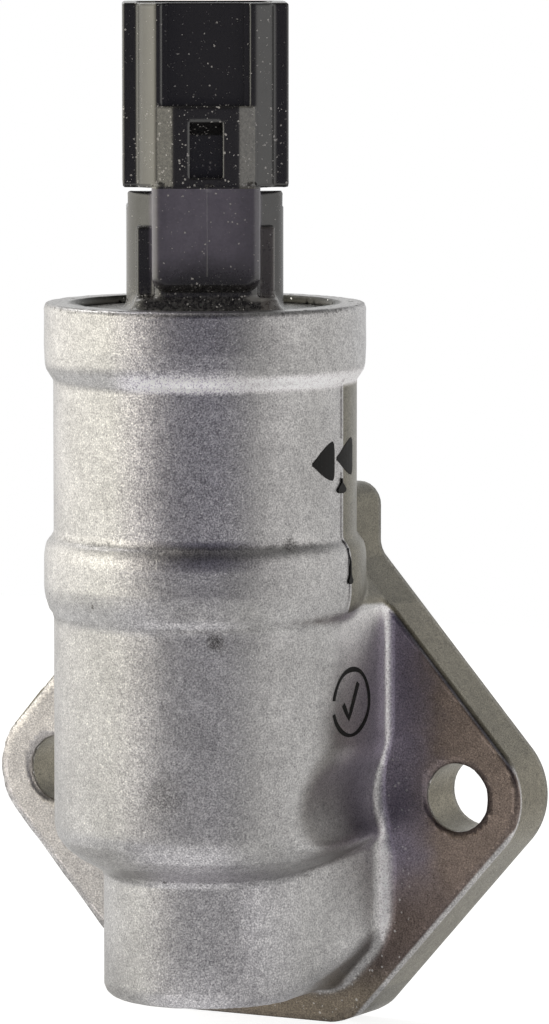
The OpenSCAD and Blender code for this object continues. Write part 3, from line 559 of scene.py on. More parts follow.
# painted glints: on the front right the grains are painted with more contrast, standing in for the
# light their tops catch
painted_grain_glints = product(tree, grade(tree, px, -3.0, 2.0), grade(tree, px, 12.0, 8.0),
                   below(tree, py, 0.0),
                   maths(tree, "MULTIPLY_ADD", grade(tree, pz, 22.0, 28.0), 0.5, 0.5))
contrast = ramp(tree, grains,
                [(0.36, (0.77, 0.76, 0.84)), (0.5, (1.07, 1.06, 1.15)), (0.64, (1.45, 1.43, 1.5))])
colour = blend_colour(tree, painted_grain_glints, colour, contrast, "MULTIPLY")
# painted highlights: the under-shoulder of the upper band, the flat wall and its fillet are painted
# a little brighter, for the light they catch
painted_shoulder_highlight = product(tree, grade(tree, pz, 41.9, 42.6), grade(tree, pz, 44.2, 43.3),
                   grade(tree, px, -3.0, 3.5))
colour = blend_colour(tree, painted_shoulder_highlight, colour, (1.9, 1.87, 1.9), "MULTIPLY")
beside = grade(tree, out, 14.6, 15.1)
painted_wall_highlight = product(tree, beside, grade(tree, py, -1.5, 2.5), grade(tree, pz, 19.5, 19.0))
colour = blend_colour(tree, painted_wall_highlight, colour, (1.34, 1.33, 1.33), "MULTIPLY")
# painted highlight along the fillet where the wall meets the flange
fillet = product(tree, beside, grade(tree, py, 7.5, 9.6), below(tree, py, 10.48))
colour = blend_colour(tree, fillet, colour, (1.35, 1.34, 1.36), "MULTIPLY")
# the die's rear half, behind the parting line, left a duller skin, and so did the flange's edge
rear = grade(tree, py, 0.75, 1.0)
dull = product(tree, rear, grade(tree, pz, 19.7, 20.2), 0.88)
flange_edge = product(tree, grade(tree, py, 10.8, 11.3), grade(tree, pr, 16.4, 16.8))
lean = maths(tree, "MULTIPLY_ADD", maths(tree, "ABSOLUTE", pz), math.sin(EDGE_LEAN),
             product(tree, out, math.cos(EDGE_LEAN)))
ahead = maths(tree, "MAXIMUM", maths(tree, "SUBTRACT", FLANGE_FRONT_Y, py), 0.0)
drafted = maths(tree, "MULTIPLY_ADD", ahead, -DRAFT, lean)
block_top = product(tree, grade(tree, drafted, EDGE_REACH - 0.3, EDGE_REACH - 0.1), rear,
                    grade(tree, pz, 0.0, 5.0))
dull = maths(tree, "MAXIMUM", dull, maths(tree, "MAXIMUM", flange_edge, block_top))
dull = product(tree, dull, grade(tree, pz, 42.6, 42.0))
colour = blend_colour(tree, dull, colour, (0.345, 0.325, 0.255), "MULTIPLY")
# violet and brown bloom on the flange's front, with painted shade: darkest beside the body, which
# hides the light there, stronger right of the axis, and darker below the middle
front = product(tree, grade(tree, py, 10.1, 10.5), grade(tree, py, 11.0, 10.6),
                grade(tree, lean, EDGE_REACH - 0.2, EDGE_REACH - 0.5),
                wire(tree, "ShaderNodeMapRange", {
                    "Value": px, "From Min": -16.0, "From Max": 0.0, "To Min": 0.3,
                    "To Max": 0.95}).outputs[0])
outward = grade(tree, maths(tree, "MULTIPLY_ADD", cloud, 8.0, out), 19.0, 27.0)
bloom_and_shade = blend_colour(tree, outward, (0.38, 0.345, 0.45), (0.28, 0.22, 0.19))
bloom_and_shade = blend_colour(tree, grade(tree, pz, -5.0, -13.0), bloom_and_shade, (0.19, 0.145, 0.13))
bloom_and_shade = blend_colour(tree, grade(tree, pz, -17.0, -21.5), bloom_and_shade, (0.46, 0.39, 0.30))
colour = blend_colour(tree, front, colour, bloom_and_shade, "MULTIPLY")
# painted shade: the inside of the rolled rim is painted near black
painted_rim_shade = product(tree, grade(tree, pz, 49.1, 49.2), grade(tree, pr, 14.0, 13.4))
colour = blend_colour(tree, painted_rim_shade, colour, (0.05, 0.048, 0.042))
# blasted grains catch the light on the flange's front, beside the body and along the bottom
grit = use(tree, specks, Cell_mm=0.38, Share=0.55, Speck_Size=0.42, Seed=8.0)
gritty = maths(tree, "MAXIMUM", grade(tree, out, 20.0, 16.0), grade(tree, pz, -12.0, -18.0))
gritty = product(tree, gritty, grade(tree, py, 7.0, 9.5), grade(tree, pz, 8.0, -0.5),
                 below(tree, py, 11.0), 0.45, grit.outputs["Mask"])
colour = blend_colour(tree, gritty, colour, (0.9, 0.89, 0.88))
# dirt: a thin line on the rim's edge and a few stains; a dark broken line in the crease above the
# lower band; and painted shade, fainter broken lines in the creases under the lower band and above
# the foot
ragged = noise(tree, place, 1.1, 3.0, 0.7)
on_skin = product(tree, below(tree, py, 1.0), below(tree, pr, 16.7))


def dark_line(height, half_width, share):
    """Mask of a broken dark line round the barrel at a height."""
    off = maths(tree, "ABSOLUTE", maths(tree, "SUBTRACT", pz, height))
    return product(tree, grade(tree, off, half_width, half_width * 0.3), on_skin,
                   grade(tree, ragged, 1.0 - share, 1.2 - share))


def stain(around, height, radius, half_size, soft):
    """Mask of a stain on the barrel at an angle in degrees from its front towards the right."""
    turned = math.radians(around)
    centre = (radius * math.sin(turned), -radius * math.cos(turned), height)
    off = maths(tree, "MULTIPLY_ADD", ragged, half_size * 1.6, distance(tree, place, centre))
    return grade(tree, off, half_size * (1.8 + soft), half_size * (1.8 - soft))


dirt_and_shade = product(tree, dark_line(49.9, 0.3, 0.52), above(tree, pr, 15.0), 0.7)
# the lines at 18.55 and -7.6 mm lie in creases and are painted shade
for mask, strength in [(dark_line(26.75, 0.5, 0.5), 0.65), (dark_line(18.55, 0.3, 0.8), 0.15),
                       (dark_line(-7.6, 0.4, 0.6), 0.25), (stain(13, 1.6, 15.33, 1.5, 1.0), 0.4),
                       (stain(33, 17.4, 15.4, 0.8, 0.6), 0.7),
                       (stain(62, 26.9, 15.4, 0.8, 0.4), 0.5),
                       (stain(-15, 20.6, 16.2, 0.2, 0.2), 0.8),
                       (stain(6.5, -7.3, 10.5, 0.22, 0.1), 0.9),
                       (stain(-45, 21.1, 16.2, 0.16, 0.1), 0.7)]:
    dirt_and_shade = maths(tree, "MAXIMUM", dirt_and_shade, product(tree, mask, strength))
dirt_and_shade = product(tree, dirt_and_shade, ramp(tree, grains, [(0.42, 1.0), (0.6, 0.4)]))
on_rim = product(tree, grade(tree, pz, 49.6, 49.9), below(tree, pr, 15.9))
crumbs = use(tree, specks, Cell_mm=0.9, Share=0.55, Speck_Size=0.4, Seed=2.0)
dirt_and_shade = maths(tree, "MAXIMUM", dirt_and_shade, product(tree, crumbs.outputs["Mask"], on_rim))
lint = use(tree, specks, Cell_mm=0.42, Share=0.6, Speck_Size=0.38, Seed=9.0)
colour = blend_colour(tree, product(tree, lint.outputs["Mask"], on_rim), colour,
                      (0.92, 0.91, 0.88))
colour = blend_colour(tree, dirt_and_shade, colour, (0.055, 0.050, 0.045))
# machined surfaces: bores and mounting face
bore_reach = wire(tree, "ShaderNodeMapRange", {"Value": pz, "From Min": 5.0, "From Max": 5.1,
                                               "To Min": 6.4, "To Max": 14.3}).outputs["Result"]
bored = product(tree, below(tree, pr, bore_reach), grade(tree, pz, -18.8, -18.5),
                below(tree, pz, 48.5))
machined = maths(tree, "MAXIMUM", bored, grade(tree, py, 16.95, 17.05))
colour = blend_colour(tree, machined, colour, (0.74, 0.73, 0.71))
shader.inputs["Metallic"].default_value = 1.0
roughness = ramp(tree, grains, [(0.3, 0.38), (0.7, 0.25)])
roughness = blend_value(tree, dirt_and_shade, blend_value(tree, machined, roughness, 0.3), 0.8)
skin_finish(tree, shader, colour, roughness, skin.outputs["Height"], 0.04, 0.9)
casting.data.materials.append(aluminium)
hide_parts("housing")
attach(casting, "valve_body")


# ---------------------------------------------------------------- end cap
# One moulding of glass-filled nylon that closes the solenoid's bore: round flange and spigot,
# pedestal, neck with a wing at each side, and the shroud with its latch block. The rolled rim
# holds it down. Its connector is turned 30 degrees to the right.

CONNECTOR_TURN = math.radians(30)
SPIGOT_Z, SHROUD_Z, MOUTH_Z, WING_TOP_Z = 43.8, 62.0, 80.4, 61.4
SHROUD_HALF_W, SHROUD_HALF_D = 8.3, 6.2


def moulded_shape(x, y, z):
    """Distance outside the moulding's surface, in mm, in the connector's own frame."""
    side = np.abs(x)
    radius = np.hypot(x, y)
    # flange and spigot with the o-ring's groove
    flange = cut(cut(radius - 14.05, z - CAP_TOP_Z + 0.05, 0.25), CAP_SEAT_Z + 0.05 - z, 0.1)
    spigot = np.maximum(radius - 13.25, np.maximum(SPIGOT_Z - z, z - CAP_SEAT_Z - 0.5))
    spigot = cut(spigot, -np.maximum(11.8 - radius, np.abs(z - 45.2) - 0.8), 0.1)
    solid = np.minimum(flange, spigot)
    # pedestal, whose foot flares out over the flange
    pedestal = cut(cut(side - 7.2, -7.0 - y, 1.2), y - 5.8, 1.2)
    pedestal = np.maximum(cut(pedestal, z - 51.0, 0.5), CAP_SEAT_Z - z)
    solid = join(solid, pedestal, 1.6)
    # wings with their stepped ribs
    facet = math.atan2(1.5, 2.15)
    slant = (side - 5.0) * math.sin(facet) - (y + 3.6) * math.cos(facet)
    wing = cut(cut(side - 7.8, slant, 0.8), y - 5.7, 0.5)
    top = np.where(y > -1.2, WING_TOP_Z - 1.5, WING_TOP_Z)
    wing = np.maximum(cut(wing, z - top, 0.2), np.maximum(CAP_SEAT_Z - z, -6.0 - y))
    rib = cut(cut(side - 6.9, -4.6 - y, 0.25), y - 1.0, 0.25)
    rib = np.maximum(cut(rib, z - WING_TOP_Z + 3.4, 0.25), CAP_SEAT_Z - z)
    solid = join(join(solid, np.minimum(wing, rib), 0.5), wing, 0.3)
    # neck, with a rounded apron in front that stops above the pedestal
    core = cut(cut(side - 5.2, -6.7 - y, 1.0), y - 5.8, 0.8)
    core = np.maximum(core, np.maximum(CAP_SEAT_Z - z, z - SHROUD_Z - 0.5))
    apron = cut(cut(side - 5.42, 51.6 - z, 1.6), -7.4 - y, 0.9)
    apron = np.maximum(apron, np.maximum(y + 3.0, z - SHROUD_Z - 0.2))
    solid = np.minimum(join(solid, core, 0.3), apron)
    # shroud: front land, a facet at each side of it, rounded back
    facets = ((side - 5.0) * math.sin(facet) - (y + SHROUD_HALF_D) * math.cos(facet))
    shroud = cut(side - SHROUD_HALF_W, 1.6 - SHROUD_HALF_D - y, 0.25)
    nose = cut(cut(facets, side - 7.15, 0.9), -SHROUD_HALF_D - y, 0.15)
    shroud = cut(join(shroud, nose, 0.15), y - SHROUD_HALF_D, 2.0)
    shroud = cut(cut(shroud, z - MOUTH_Z, 0.3), SHROUD_Z - z, 0.35)
    # channel for the mating plug's latch, with a step at each side
    channel = np.minimum(np.maximum(side - 3.84, y + 4.9), np.maximum(side - 4.36, y + 5.7))
    shroud = cut(shroud, -channel, 0.1)
    # latch block with its window
    lean = math.atan2(1.0, 1.75)
    latch = (side - 3.25) * math.sin(lean) - (y + 7.2) * math.cos(lean)
    latch = cut(cut(latch, -7.2 - y, 0.12), side - 4.95, 0.1)
    latch = np.maximum(cut(latch, z - 70.2, 0.3), np.maximum(SHROUD_Z - z, y + 4.5))
    slant = math.atan2(1.4, 2.3)
    window = np.maximum(np.maximum(side - 1.65, 63.05 - z), y + 4.9)
    window = np.maximum(window, (z - 68.6) * math.cos(slant) + (y + 7.2) * math.sin(slant))
    latch = cut(latch, -window, 0.12)
    gate_mark = np.hypot(np.hypot(x - 0.3, y + 6.95), z - 62.0) - 0.55
    shroud = np.minimum(np.minimum(shroud, latch), gate_mark)
    solid = np.minimum(solid, shroud)
    # socket for the mating plug
    socket = cut(cut(side - 6.8, np.abs(y - 0.65) - 4.05, 1.2), 64.6 - z, 0.4)
    return cut(solid, -socket, 0.2)


def from_connector(points):
    """Points in the connector's own frame, turned and moved to in front of the mounting face."""
    c, s = math.cos(CONNECTOR_TURN), math.sin(CONNECTOR_TURN)
    return points @ np.array([[c, s, 0], [-s, c, 0], [0, 0, 1]]) - np.array([0, AXIS_TO_FACE, 0])


moulding = sculpt("end_cap_moulding", moulded_shape, (-14.05, -14.05, SPIGOT_Z),
                  (14.05, 14.05, MOUTH_Z), 0.3, from_connector)
nylon, tree, shader = finish("black_moulding")
place = place_on_axis(tree)
pz = parts(tree, place)[2]
turned = wire(tree, "ShaderNodeVectorRotate", {"Vector": place, "Angle": -CONNECTOR_TURN},
              rotation_type="Z_AXIS").outputs[0]
cx, cy, _ = parts(tree, turned)
off_middle = maths(tree, "ABSOLUTE", cx)
skin = use(tree, grain, Size_mm=0.3, Coarse_Share=0.5, Seed=3.0)
grains = skin.outputs["Value"]
colour = ramp(tree, grains, [(0.3, (0.018, 0.0165, 0.017)), (0.7, (0.034, 0.032, 0.033))])
# the neck has an etched skin, a satin purple-grey that fades towards its bottom; its fade towards
# the sides, most on the right, is painted shade
scuffs = noise(tree, place, 3.2, 4.0, 0.7)
bowed = maths(tree, "MULTIPLY_ADD", product(tree, cx, cx), 0.05,
              maths(tree, "MULTIPLY_ADD", scuffs, -2.0, pz))
etched_and_shaded = product(tree, grade(tree, bowed, 51.4, 55.8), below(tree, pz, 61.98),
                 grade(tree, off_middle, 5.8, 5.5),
                 maths(tree, "MULTIPLY_ADD", grade(tree, cx, 1.5, 5.0), -0.4, 1.0),
                 maths(tree, "MULTIPLY_ADD", grade(tree, cx, -2.5, -5.0), -0.2, 1.0))
satin = ramp(tree, grains, [(0.3, (0.145, 0.127, 0.170)), (0.7, (0.230, 0.210, 0.268))])
colour = blend_colour(tree, etched_and_shaded, colour, satin)
# scuffed skin, lighter on the latch block's slanted sides; a painted highlight on the left facet,
# brighter towards the front, where it faces the light; and lighter patches on the right rib
on_block = product(tree, below(tree, pz, 70.2), above(tree, pz, 62.0),
                   grade(tree, off_middle, 3.28, 3.36), below(tree, off_middle, 4.9),
                   below(tree, cy, -4.6))
rubbed = maths(tree, "MULTIPLY_ADD", grade(tree, scuffs, 0.40, 0.60), 0.5,
               product(tree, grade(tree, cx, 0.0, 1.0), 0.5))
left_facet_highlight = product(tree, grade(tree, cx, -7.3, -5.2), below(tree, cx, -4.95),
                     above(tree, pz, 62.0))
scuffed_and_highlit = maths(tree, "MAXIMUM", product(tree, on_block, rubbed), left_facet_highlight)
colour = blend_colour(tree, scuffed_and_highlit, colour, (0.24, 0.23, 0.20))
right_rib = product(tree, above(tree, cx, 5.45), below(tree, cy, -4.0),
                    below(tree, pz, 58.7), grade(tree, scuffs, 0.2, 0.5))
colour = blend_colour(tree, right_rib, colour, (0.19, 0.172, 0.16))
# dust: a little everywhere, more on the pedestal, the round flange and the latch block; and a
# painted highlight, a streak at the pedestal's front right corner
low = grade(tree, pz, 53.0, 51.0)
latch = product(tree, above(tree, pz, 61.9), below(tree, pz, 70.3))
thin = use(tree, specks, Cell_mm=0.40, Share=0.9, Speck_Size=0.27)
thick = use(tree, specks, Cell_mm=0.33, Share=0.9, Speck_Size=0.40, Seed=5.0)
faint = use(tree, specks, Cell_mm=0.24, Share=0.5, Speck_Size=0.36, Seed=6.0)
film = product(tree, low, grade(tree, scuffs, 0.42, 0.62), wire(tree, "ShaderNodeMapRange", {
    "Value": cx, "From Min": -8.5, "From Max": -6.5, "To Min": 0.5, "To Max": 0.16}).outputs[0])
off = maths(tree, "MULTIPLY_ADD", scuffs, 1.6,
            distance(tree, scaled(tree, turned, (1.0, 1.0, 3.0)), (5.0, -6.8, 153.0)))
dust_and_streak = film
# the first mask is the painted highlight streak at the pedestal's corner
for mask in (product(tree, grade(tree, off, 2.3, 1.4), 0.5),
             product(tree, faint.outputs["Mask"], 0.22), thin.outputs["Mask"],
             product(tree, thick.outputs["Mask"], maths(tree, "MAXIMUM", low, latch))):
    dust_and_streak = maths(tree, "MAXIMUM", dust_and_streak, mask)
colour = blend_colour(tree, dust_and_streak, colour, (0.72, 0.70, 0.67))
shader.inputs["IOR"].default_value = 1.65
shader.inputs["Specular IOR Level"].default_value = 0.8
gloss = ramp(tree, grains, [(0.3, 0.28), (0.7, 0.20)])
gloss = blend_value(tree, dust_and_streak, blend_value(tree, etched_and_shaded, gloss, 0.38), 0.9)
skin_finish(tree, shader, colour, gloss, skin.outputs["Height"], 0.01, 0.3)
moulding.data.materials.append(nylon)
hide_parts("end_cap")
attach(moulding, "valve_body")


# ---------------------------------------------------------------- parting lines and mould line
# Thin raised beads where the two halves of a die met: one down each side of the casting, which
# follows the lower band outwards, and a fine one down the middle of the moulding's neck.


def geometry_group(name, **inputs):
    """A Geometry Nodes group with named inputs of some kinds, and its input node."""
    group = bpy.data.node_groups.new(name, "GeometryNodeTree")
    for label, kind in {"Geometry": "Geometry", **inputs, "Material": "Material"}.items():
        group.interface.new_socket(label.replace("_", " "), in_out="INPUT",
                                   socket_type="NodeSocket" + kind)
    group.interface.new_socket("Geometry", in_out="OUTPUT", socket_type="NodeSocketGeometry")
    return group, wire(group, "NodeGroupInput")


def hand_out(group, geometry, material):
    """Ends a group: its geometry made real, with its material."""
    whole = wire(group, "GeometryNodeRealizeInstances", {0: geometry})
    painted = wire(group, "GeometryNodeSetMaterial", {"Geometry": whole.outputs[0],
                                                      "Material": material})
    wire(group, "NodeGroupOutput", {0: painted.outputs[0]})


bead, given = geometry_group("swept_bead", Bead_Radius="Float", Round_Sides="Int")
path = wire(bead, "GeometryNodeMeshToCurve", {"Mesh": given.outputs["Geometry"]})
section = wire(bead, "GeometryNodeCurvePrimitiveCircle",
               {"Resolution": given.outputs["Round Sides"], "Radius": given.outputs["Bead Radius"]})
swept_path = wire(bead, "GeometryNodeCurveToMesh", {
    "Curve": path.outputs[0], "Profile Curve": section.outputs[0], "Fill Caps": True})
hand_out(bead, swept_path.outputs[0], given.outputs["Material"])


def made_by(group, name, mesh, **inputs):
    """Runs a mesh through Geometry Nodes once, and returns the result as a plain object."""
    source = bpy.data.objects.new(name + "_source", mesh)
    scene.collection.objects.link(source)
    modifier = source.modifiers.new(group.name, "NODES")
    modifier.node_group = group
    sockets = {item.name: item.identifier for item in group.interface.items_tree
               if item.in_out == "INPUT"}
    for label, value in inputs.items():
        modifier[sockets[label.replace("_", " ")]] = value
    depsgraph = bpy.context.evaluated_depsgraph_get()
    result = bpy.data.meshes.new_from_object(source.evaluated_get(depsgraph), depsgraph=depsgraph)
    result.name = name
    source.modifiers.clear()
    bpy.data.objects.remove(source)
    piece = bpy.data.objects.new(name, result)
    scene.collection.objects.link(piece)
    return piece


def paths(lines):
    """A mesh of edges only, along some lines of points in metres."""
    points, edges = [], []
    for line in lines:
        edges += [(len(points) + k, len(points) + k + 1) for k in range(len(line) - 1)]
        points += [tuple(point) for point in line]
    mesh = bpy.data.meshes.new("lines")
    mesh.from_pydata(points, edges, [])
    return mesh


PARTING_Y = 0.5
lines = []
for side, low, high in ((1, 19.8, 33.6), (1, 37.0, 43.2), (-1, 19.8, 43.2)):
    heights = np.arange(low, high, 0.15)
    radii = np.maximum(barrel_radius(heights), band_radius(heights)) - 0.06
    lines.append(from_axis(np.stack([side * np.sqrt(radii ** 2 - PARTING_Y ** 2),
                                     np.full_like(heights, PARTING_Y), heights], 1)) * MM)
flash = made_by(bead, "parting_lines", paths(lines), Bead_Radius=0.00019, Round_Sides=8,
                Material=aluminium)
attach(flash, "valve_body")

heights = np.arange(53.2, 61.9, 0.4)
line = from_connector(np.stack([np.full_like(heights, 0.1), np.full_like(heights, -7.375),
                                heights], 1)) * MM
mould_line = made_by(bead, "neck_mould_line", paths([line]), Bead_Radius=0.00006, Round_Sides=6,
                     Material=nylon)
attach(mould_line, "valve_body")


# ---------------------------------------------------------------- ink marks
# Black marks of the line's inspection, stamped on the casting's right side: two arrowheads that
# point forward with runs of ink below them, and on the flat wall a ring round a tick.

RING = (2.68, 10.15)  # middle of the stamped ring on the wall


def on_wall(along, height, lift):
    """A point on the barrel for along < 0 and on the flat wall behind it for along > 0, in mm."""
    radius = BARREL_R + lift
    turned = math.pi / 2 + min(along, 0.0) / BARREL_R
    return (radius * math.sin(turned), max(along, 0.0) - radius * math.cos(turned), height)


def on_barrel(angle, height, lift):
    """A point on the barrel or its band at an angle in degrees from its front to the right."""
    radius = max(float(barrel_radius(height)), float(band_radius(height))) + lift
    turned = math.radians(angle)
    return (radius * math.sin(turned), -radius * math.cos(turned), height)


def plate(place, upper, lower, lift=0.04):
    """Points and faces of a thin patch of ink between two edges, sunk a little into the skin."""
    count = len(upper)
    points = [place(*edge[k], height) for k in range(count)
              for edge, height in ((upper, lift), (lower, lift), (lower, -0.12), (upper, -0.12))]
    faces = []
    for a in range(0, 4 * (count - 1), 4):
        faces += [(a + i, a + (i + 1) % 4, a + 4 + (i + 1) % 4, a + 4 + i) for i in range(4)]
    return points, faces + [(3, 2, 1, 0), tuple(4 * (count - 1) + i for i in range(4))]


def between(start, end, count):
    """Points spaced evenly from a start to an end."""
    return [tuple(a + (b - a) * k / count for a, b in zip(start, end)) for k in range(count + 1)]


def drop(angle, height, half_width, length):
    """The two edges of a run of ink that ends in a drop, from its top down."""
    widths = [0.10, 0.10, 0.13, half_width * 0.6, half_width, half_width * 0.9, half_width * 0.3]
    bulb = min(length, 3 * half_width)
    levels = [length, 0.5 * length + 0.35 * bulb, 0.7 * bulb, 0.5 * bulb, 0.27 * bulb,
              0.1 * bulb, 0.0]
    turns = [math.degrees(w / BARREL_R) for w in widths]
    bottom = height - length
    left = [(angle - w, bottom + h) for w, h in zip(turns, levels)]
    right = [(angle + w, bottom + h) for w, h in zip(turns, levels)]
    return right, left


def arrowhead(tip, top, bottom, bulge):
    """The two edges of an arrowhead with bulging sides and round corners, from its tip back."""
    edges = []
    for corner, turn in ((top, bulge), (bottom, -bulge)):
        shares = [0.0, 0.03, 0.08, 0.18, 0.35, 0.55, 0.75, 0.9, 0.97, 1.0]
        rounding = [0.3, 0.75, 1.0, 1.0, 1.0, 1.0, 1.0, 0.97, 0.82, 0.5]
        edge = []
        for k, keep in zip(shares, rounding):
            angle = tip[0] + (corner[0] - tip[0]) * k
            height = tip[1] + (corner[1] - tip[1]) * k + turn * 4 * k * (1 - k)
            edge.append((angle, tip[1] + (height - tip[1]) * keep + (turn * 0.5 if k < 0.1 else 0)
                         * (1 - k * 8)))
        edges.append(edge)
    return edges


def ring_edge(radius, waves, count=60):
    """Points round the stamped ring, which is wider than high, a bit uneven, and has a gap."""
    steps = [math.pi * (1.05 + 1.87 * k / count) for k in range(count + 1)]
    radii = [radius + 0.05 * math.sin(waves * a) for a in steps]
    return [(RING[0] + 1.14 * r * math.cos(a), RING[1] - r * math.sin(a))
            for r, a in zip(radii, steps)]


def stroke(points, half_width):
    """The two edges of a pen stroke along some points."""
    upper, lower = [], []
    for k, (u, v) in enumerate(points):
        before, after = points[max(k - 1, 0)], points[min(k + 1, len(points) - 1)]
        du, dv = after[0] - before[0], after[1] - before[1]
        scale = half_width / math.hypot(du, dv)
        upper.append((u - dv * scale, v + du * scale))
        lower.append((u + dv * scale, v - du * scale))
    return upper, lower


tick = ([(0.9, 10.1), (1.5, 9.3), (2.1, 8.6)] + between((2.15, 8.6), (4.1, 12.0), 4)[1:])
patches = [
    plate(on_barrel, *arrowhead((73.0, 34.7), (86.3, 37.0), (86.3, 32.75), 0.35)),
    plate(on_barrel, *arrowhead((87.9, 35.05), (103.2, 37.05), (103.2, 33.0), 0.35)),
    plate(on_barrel, *drop(91.6, 33.0, 0.9, 1.5), lift=0.17),
    plate(on_barrel, *drop(91.6, 26.0, 0.45, 3.6), lift=0.17),
    plate(on_wall, ring_edge(3.55, 3), ring_edge(3.12, 5)),
    plate(on_wall, *stroke(tick, 0.3))]
points, faces = [], []
for patch_points, patch_faces in patches:
    faces += [tuple(len(points) + k for k in face) for face in patch_faces]
    points += patch_points
mesh = bpy.data.meshes.new("ink_marks")
mesh.from_pydata((from_axis(np.array(points)) * MM).tolist(), [], faces)
ink = bpy.data.objects.new("ink_marks", mesh)
scene.collection.objects.link(ink)
marking_ink, tree, shader = finish("marking_ink")
skin = use(tree, grain, Size_mm=0.2, Coarse_Share=0.4, Seed=7.0)
colour = ramp(tree, skin.outputs["Value"], [
    (0.35, (0.006, 0.006, 0.006)), (0.60, (0.016, 0.015, 0.013)), (0.74, (0.14, 0.135, 0.12))])
skin_finish(tree, shader, colour, ramp(tree, skin.outputs["Value"], [(0.3, 0.5), (0.7, 0.7)]))
shader.inputs["Specular IOR Level"].default_value = 0.25
mesh.materials.append(marking_ink)
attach(ink, "valve_body")


# ---------------------------------------------------------------- seals
# Black nitrile rubber: the end cap's o-ring, the flat gasket under the solenoid, the facing
# bonded under the valve head, and the seal moulded into the mounting face. Matt, with a little
# talc left from moulding.


def paint(material, *names):
    """Gives a material to CAD pieces whose shapes stay as they are."""
    for name in names:
        nodes[name].data.materials.clear()
        nodes[name].data.materials.append(material)


def worked(name, marks, mark_values, dark, light, rough, depth=0.0, strength=0.5, tone=(),
           tone_share=0.0):
    """A material whose colour, roughness and relief follow the marks of its making.

    tone is a second colour, and tone_share gives its mask for the material's tree."""
    material, tree, shader = finish(name)
    lines = use(tree, marks, **mark_values)
    colour = ramp(tree, lines.outputs["Value"], [(0.3, dark), (0.7, light)])
    if tone:
        colour = blend_colour(tree, tone_share(tree), colour, tone)
    roughness = ramp(tree, lines.outputs["Value"], [(0.3, rough[0]), (0.7, rough[1])])
    skin_finish(tree, shader, colour, roughness, lines.outputs["Height"], depth, strength)
    return material, shader


def talc(tree):
    """Mask of the talc that is left on a seal."""
    spots = use(tree, specks, Cell_mm=0.35, Share=0.5, Speck_Size=0.3, Seed=12.0)
    return product(tree, spots.outputs["Mask"], 0.5)


rubber, _ = worked("seal_rubber", grain, {"Size_mm": 0.12, "Coarse_Share": 0.35, "Seed": 11.0},
                   (0.018, 0.018, 0.019), (0.038, 0.037, 0.036), (0.72, 0.58), 0.01,
                   tone=(0.20, 0.20, 0.19), tone_share=talc)
paint(rubber, "cap_o_ring", "coil_gasket", "head_facing", "port_seal")


# ---------------------------------------------------------------- terminals
# Two blades stamped from brass strip and tin plated, with their legs down to the coil. Fine
# rolling lines run along them, and brass shows through where the plating has rubbed.

# Lines drawn along the valve's axis, as rolling or drawing leaves them
drawn, given, result = effect("drawn_lines", {"Pitch mm": 0.1, "Seed": 0.0}, ["Value", "Height"])
spots = scaled(drawn, wire(drawn, "ShaderNodeTexCoord").outputs["Object"], (1.0, 1.0, 0.02))
lines = noise(drawn, spots, maths(drawn, "DIVIDE", 1000.0, given.outputs["Pitch mm"]), 2.0,
              W=given.outputs["Seed"])
for label in ("Value", "Height"):
    drawn.links.new(lines, result.inputs[label])


def rubbed_through(tree):
    """Mask of the places where the tin has rubbed off."""
    skin = use(tree, grain, Size_mm=0.3, Coarse_Share=0.8, Seed=13.0)
    return product(tree, grade(tree, skin.outputs["Value"], 0.56, 0.66), 0.6)


tinned, shader = worked("tinned_brass", drawn, {"Pitch_mm": 0.09, "Seed": 1.0},
                        (0.60, 0.58, 0.53), (0.80, 0.79, 0.75), (0.34, 0.20), 0.006, 0.6,
                        tone=(0.72, 0.56, 0.28), tone_share=rubbed_through)
shader.inputs["Metallic"].default_value = 1.0
paint(tinned, "terminal_left", "terminal_right")


# ---------------------------------------------------------------- magnetic circuit
# Soft steel parts turned on a lathe and zinc plated: pole piece with its fixed core, yoke, lower
# flux plate, and the armature that slides. Fine turning rings run round the axis, and the
# plating has a faint yellow and blue tone.

# Rings round the valve's axis, as turning leaves them on both round and flat faces
lathe, given, result = effect("turning_rings", {"Pitch mm": 0.15, "Seed": 0.0},
                              ["Value", "Height"])
centred = wire(lathe, "ShaderNodeVectorMath",
               {0: wire(lathe, "ShaderNodeTexCoord").outputs["Object"],
                1: (0.0, AXIS_TO_FACE * MM, 0.0)}, operation="ADD").outputs[0]
cx, cy, cz = parts(lathe, centred)
away = wire(lathe, "ShaderNodeVectorMath", {0: scaled(lathe, centred, (1.0, 1.0, 0.0))},
            operation="LENGTH").outputs["Value"]
turn = product(lathe, maths(lathe, "ARCTAN2", cx, cy), 0.0004)
ring_spots = wire(lathe, "ShaderNodeCombineXYZ", {"X": away, "Y": turn, "Z": cz}).outputs[0]
rings = noise(lathe, ring_spots, maths(lathe, "DIVIDE", 1000.0, given.outputs["Pitch mm"]), 1.5,
              W=given.outputs["Seed"])
for label in ("Value", "Height"):
    lathe.links.new(rings, result.inputs[label])


def metal(name, marks, mark_values, dark, light, tone, tone_share, gloss, depth, seed):
    """A worked metal: marks of its making, with a soft second tone over part of it."""
    def patches(tree):
        skin = use(tree, grain, Size_mm=0.5, Coarse_Share=0.85, Seed=seed)
        return product(tree, grade(tree, skin.outputs["Value"], 0.42, 0.62), tone_share)

    material, shader = worked(name, marks, mark_values, dark, light,
                              (gloss + 0.08, gloss - 0.05), depth, 0.7, tone, patches)
    shader.inputs["Metallic"].default_value = 1.0
    return material


plated_steel = metal("magnet_steel", lathe, {"Pitch_mm": 0.16, "Seed": 2.0}, (0.46, 0.47, 0.47),
                     (0.66, 0.67, 0.66), (0.58, 0.55, 0.44), 0.5, 0.34, 0.010, 14.0)
paint(plated_steel, "pole_piece", "yoke", "flux_plate", "armature")


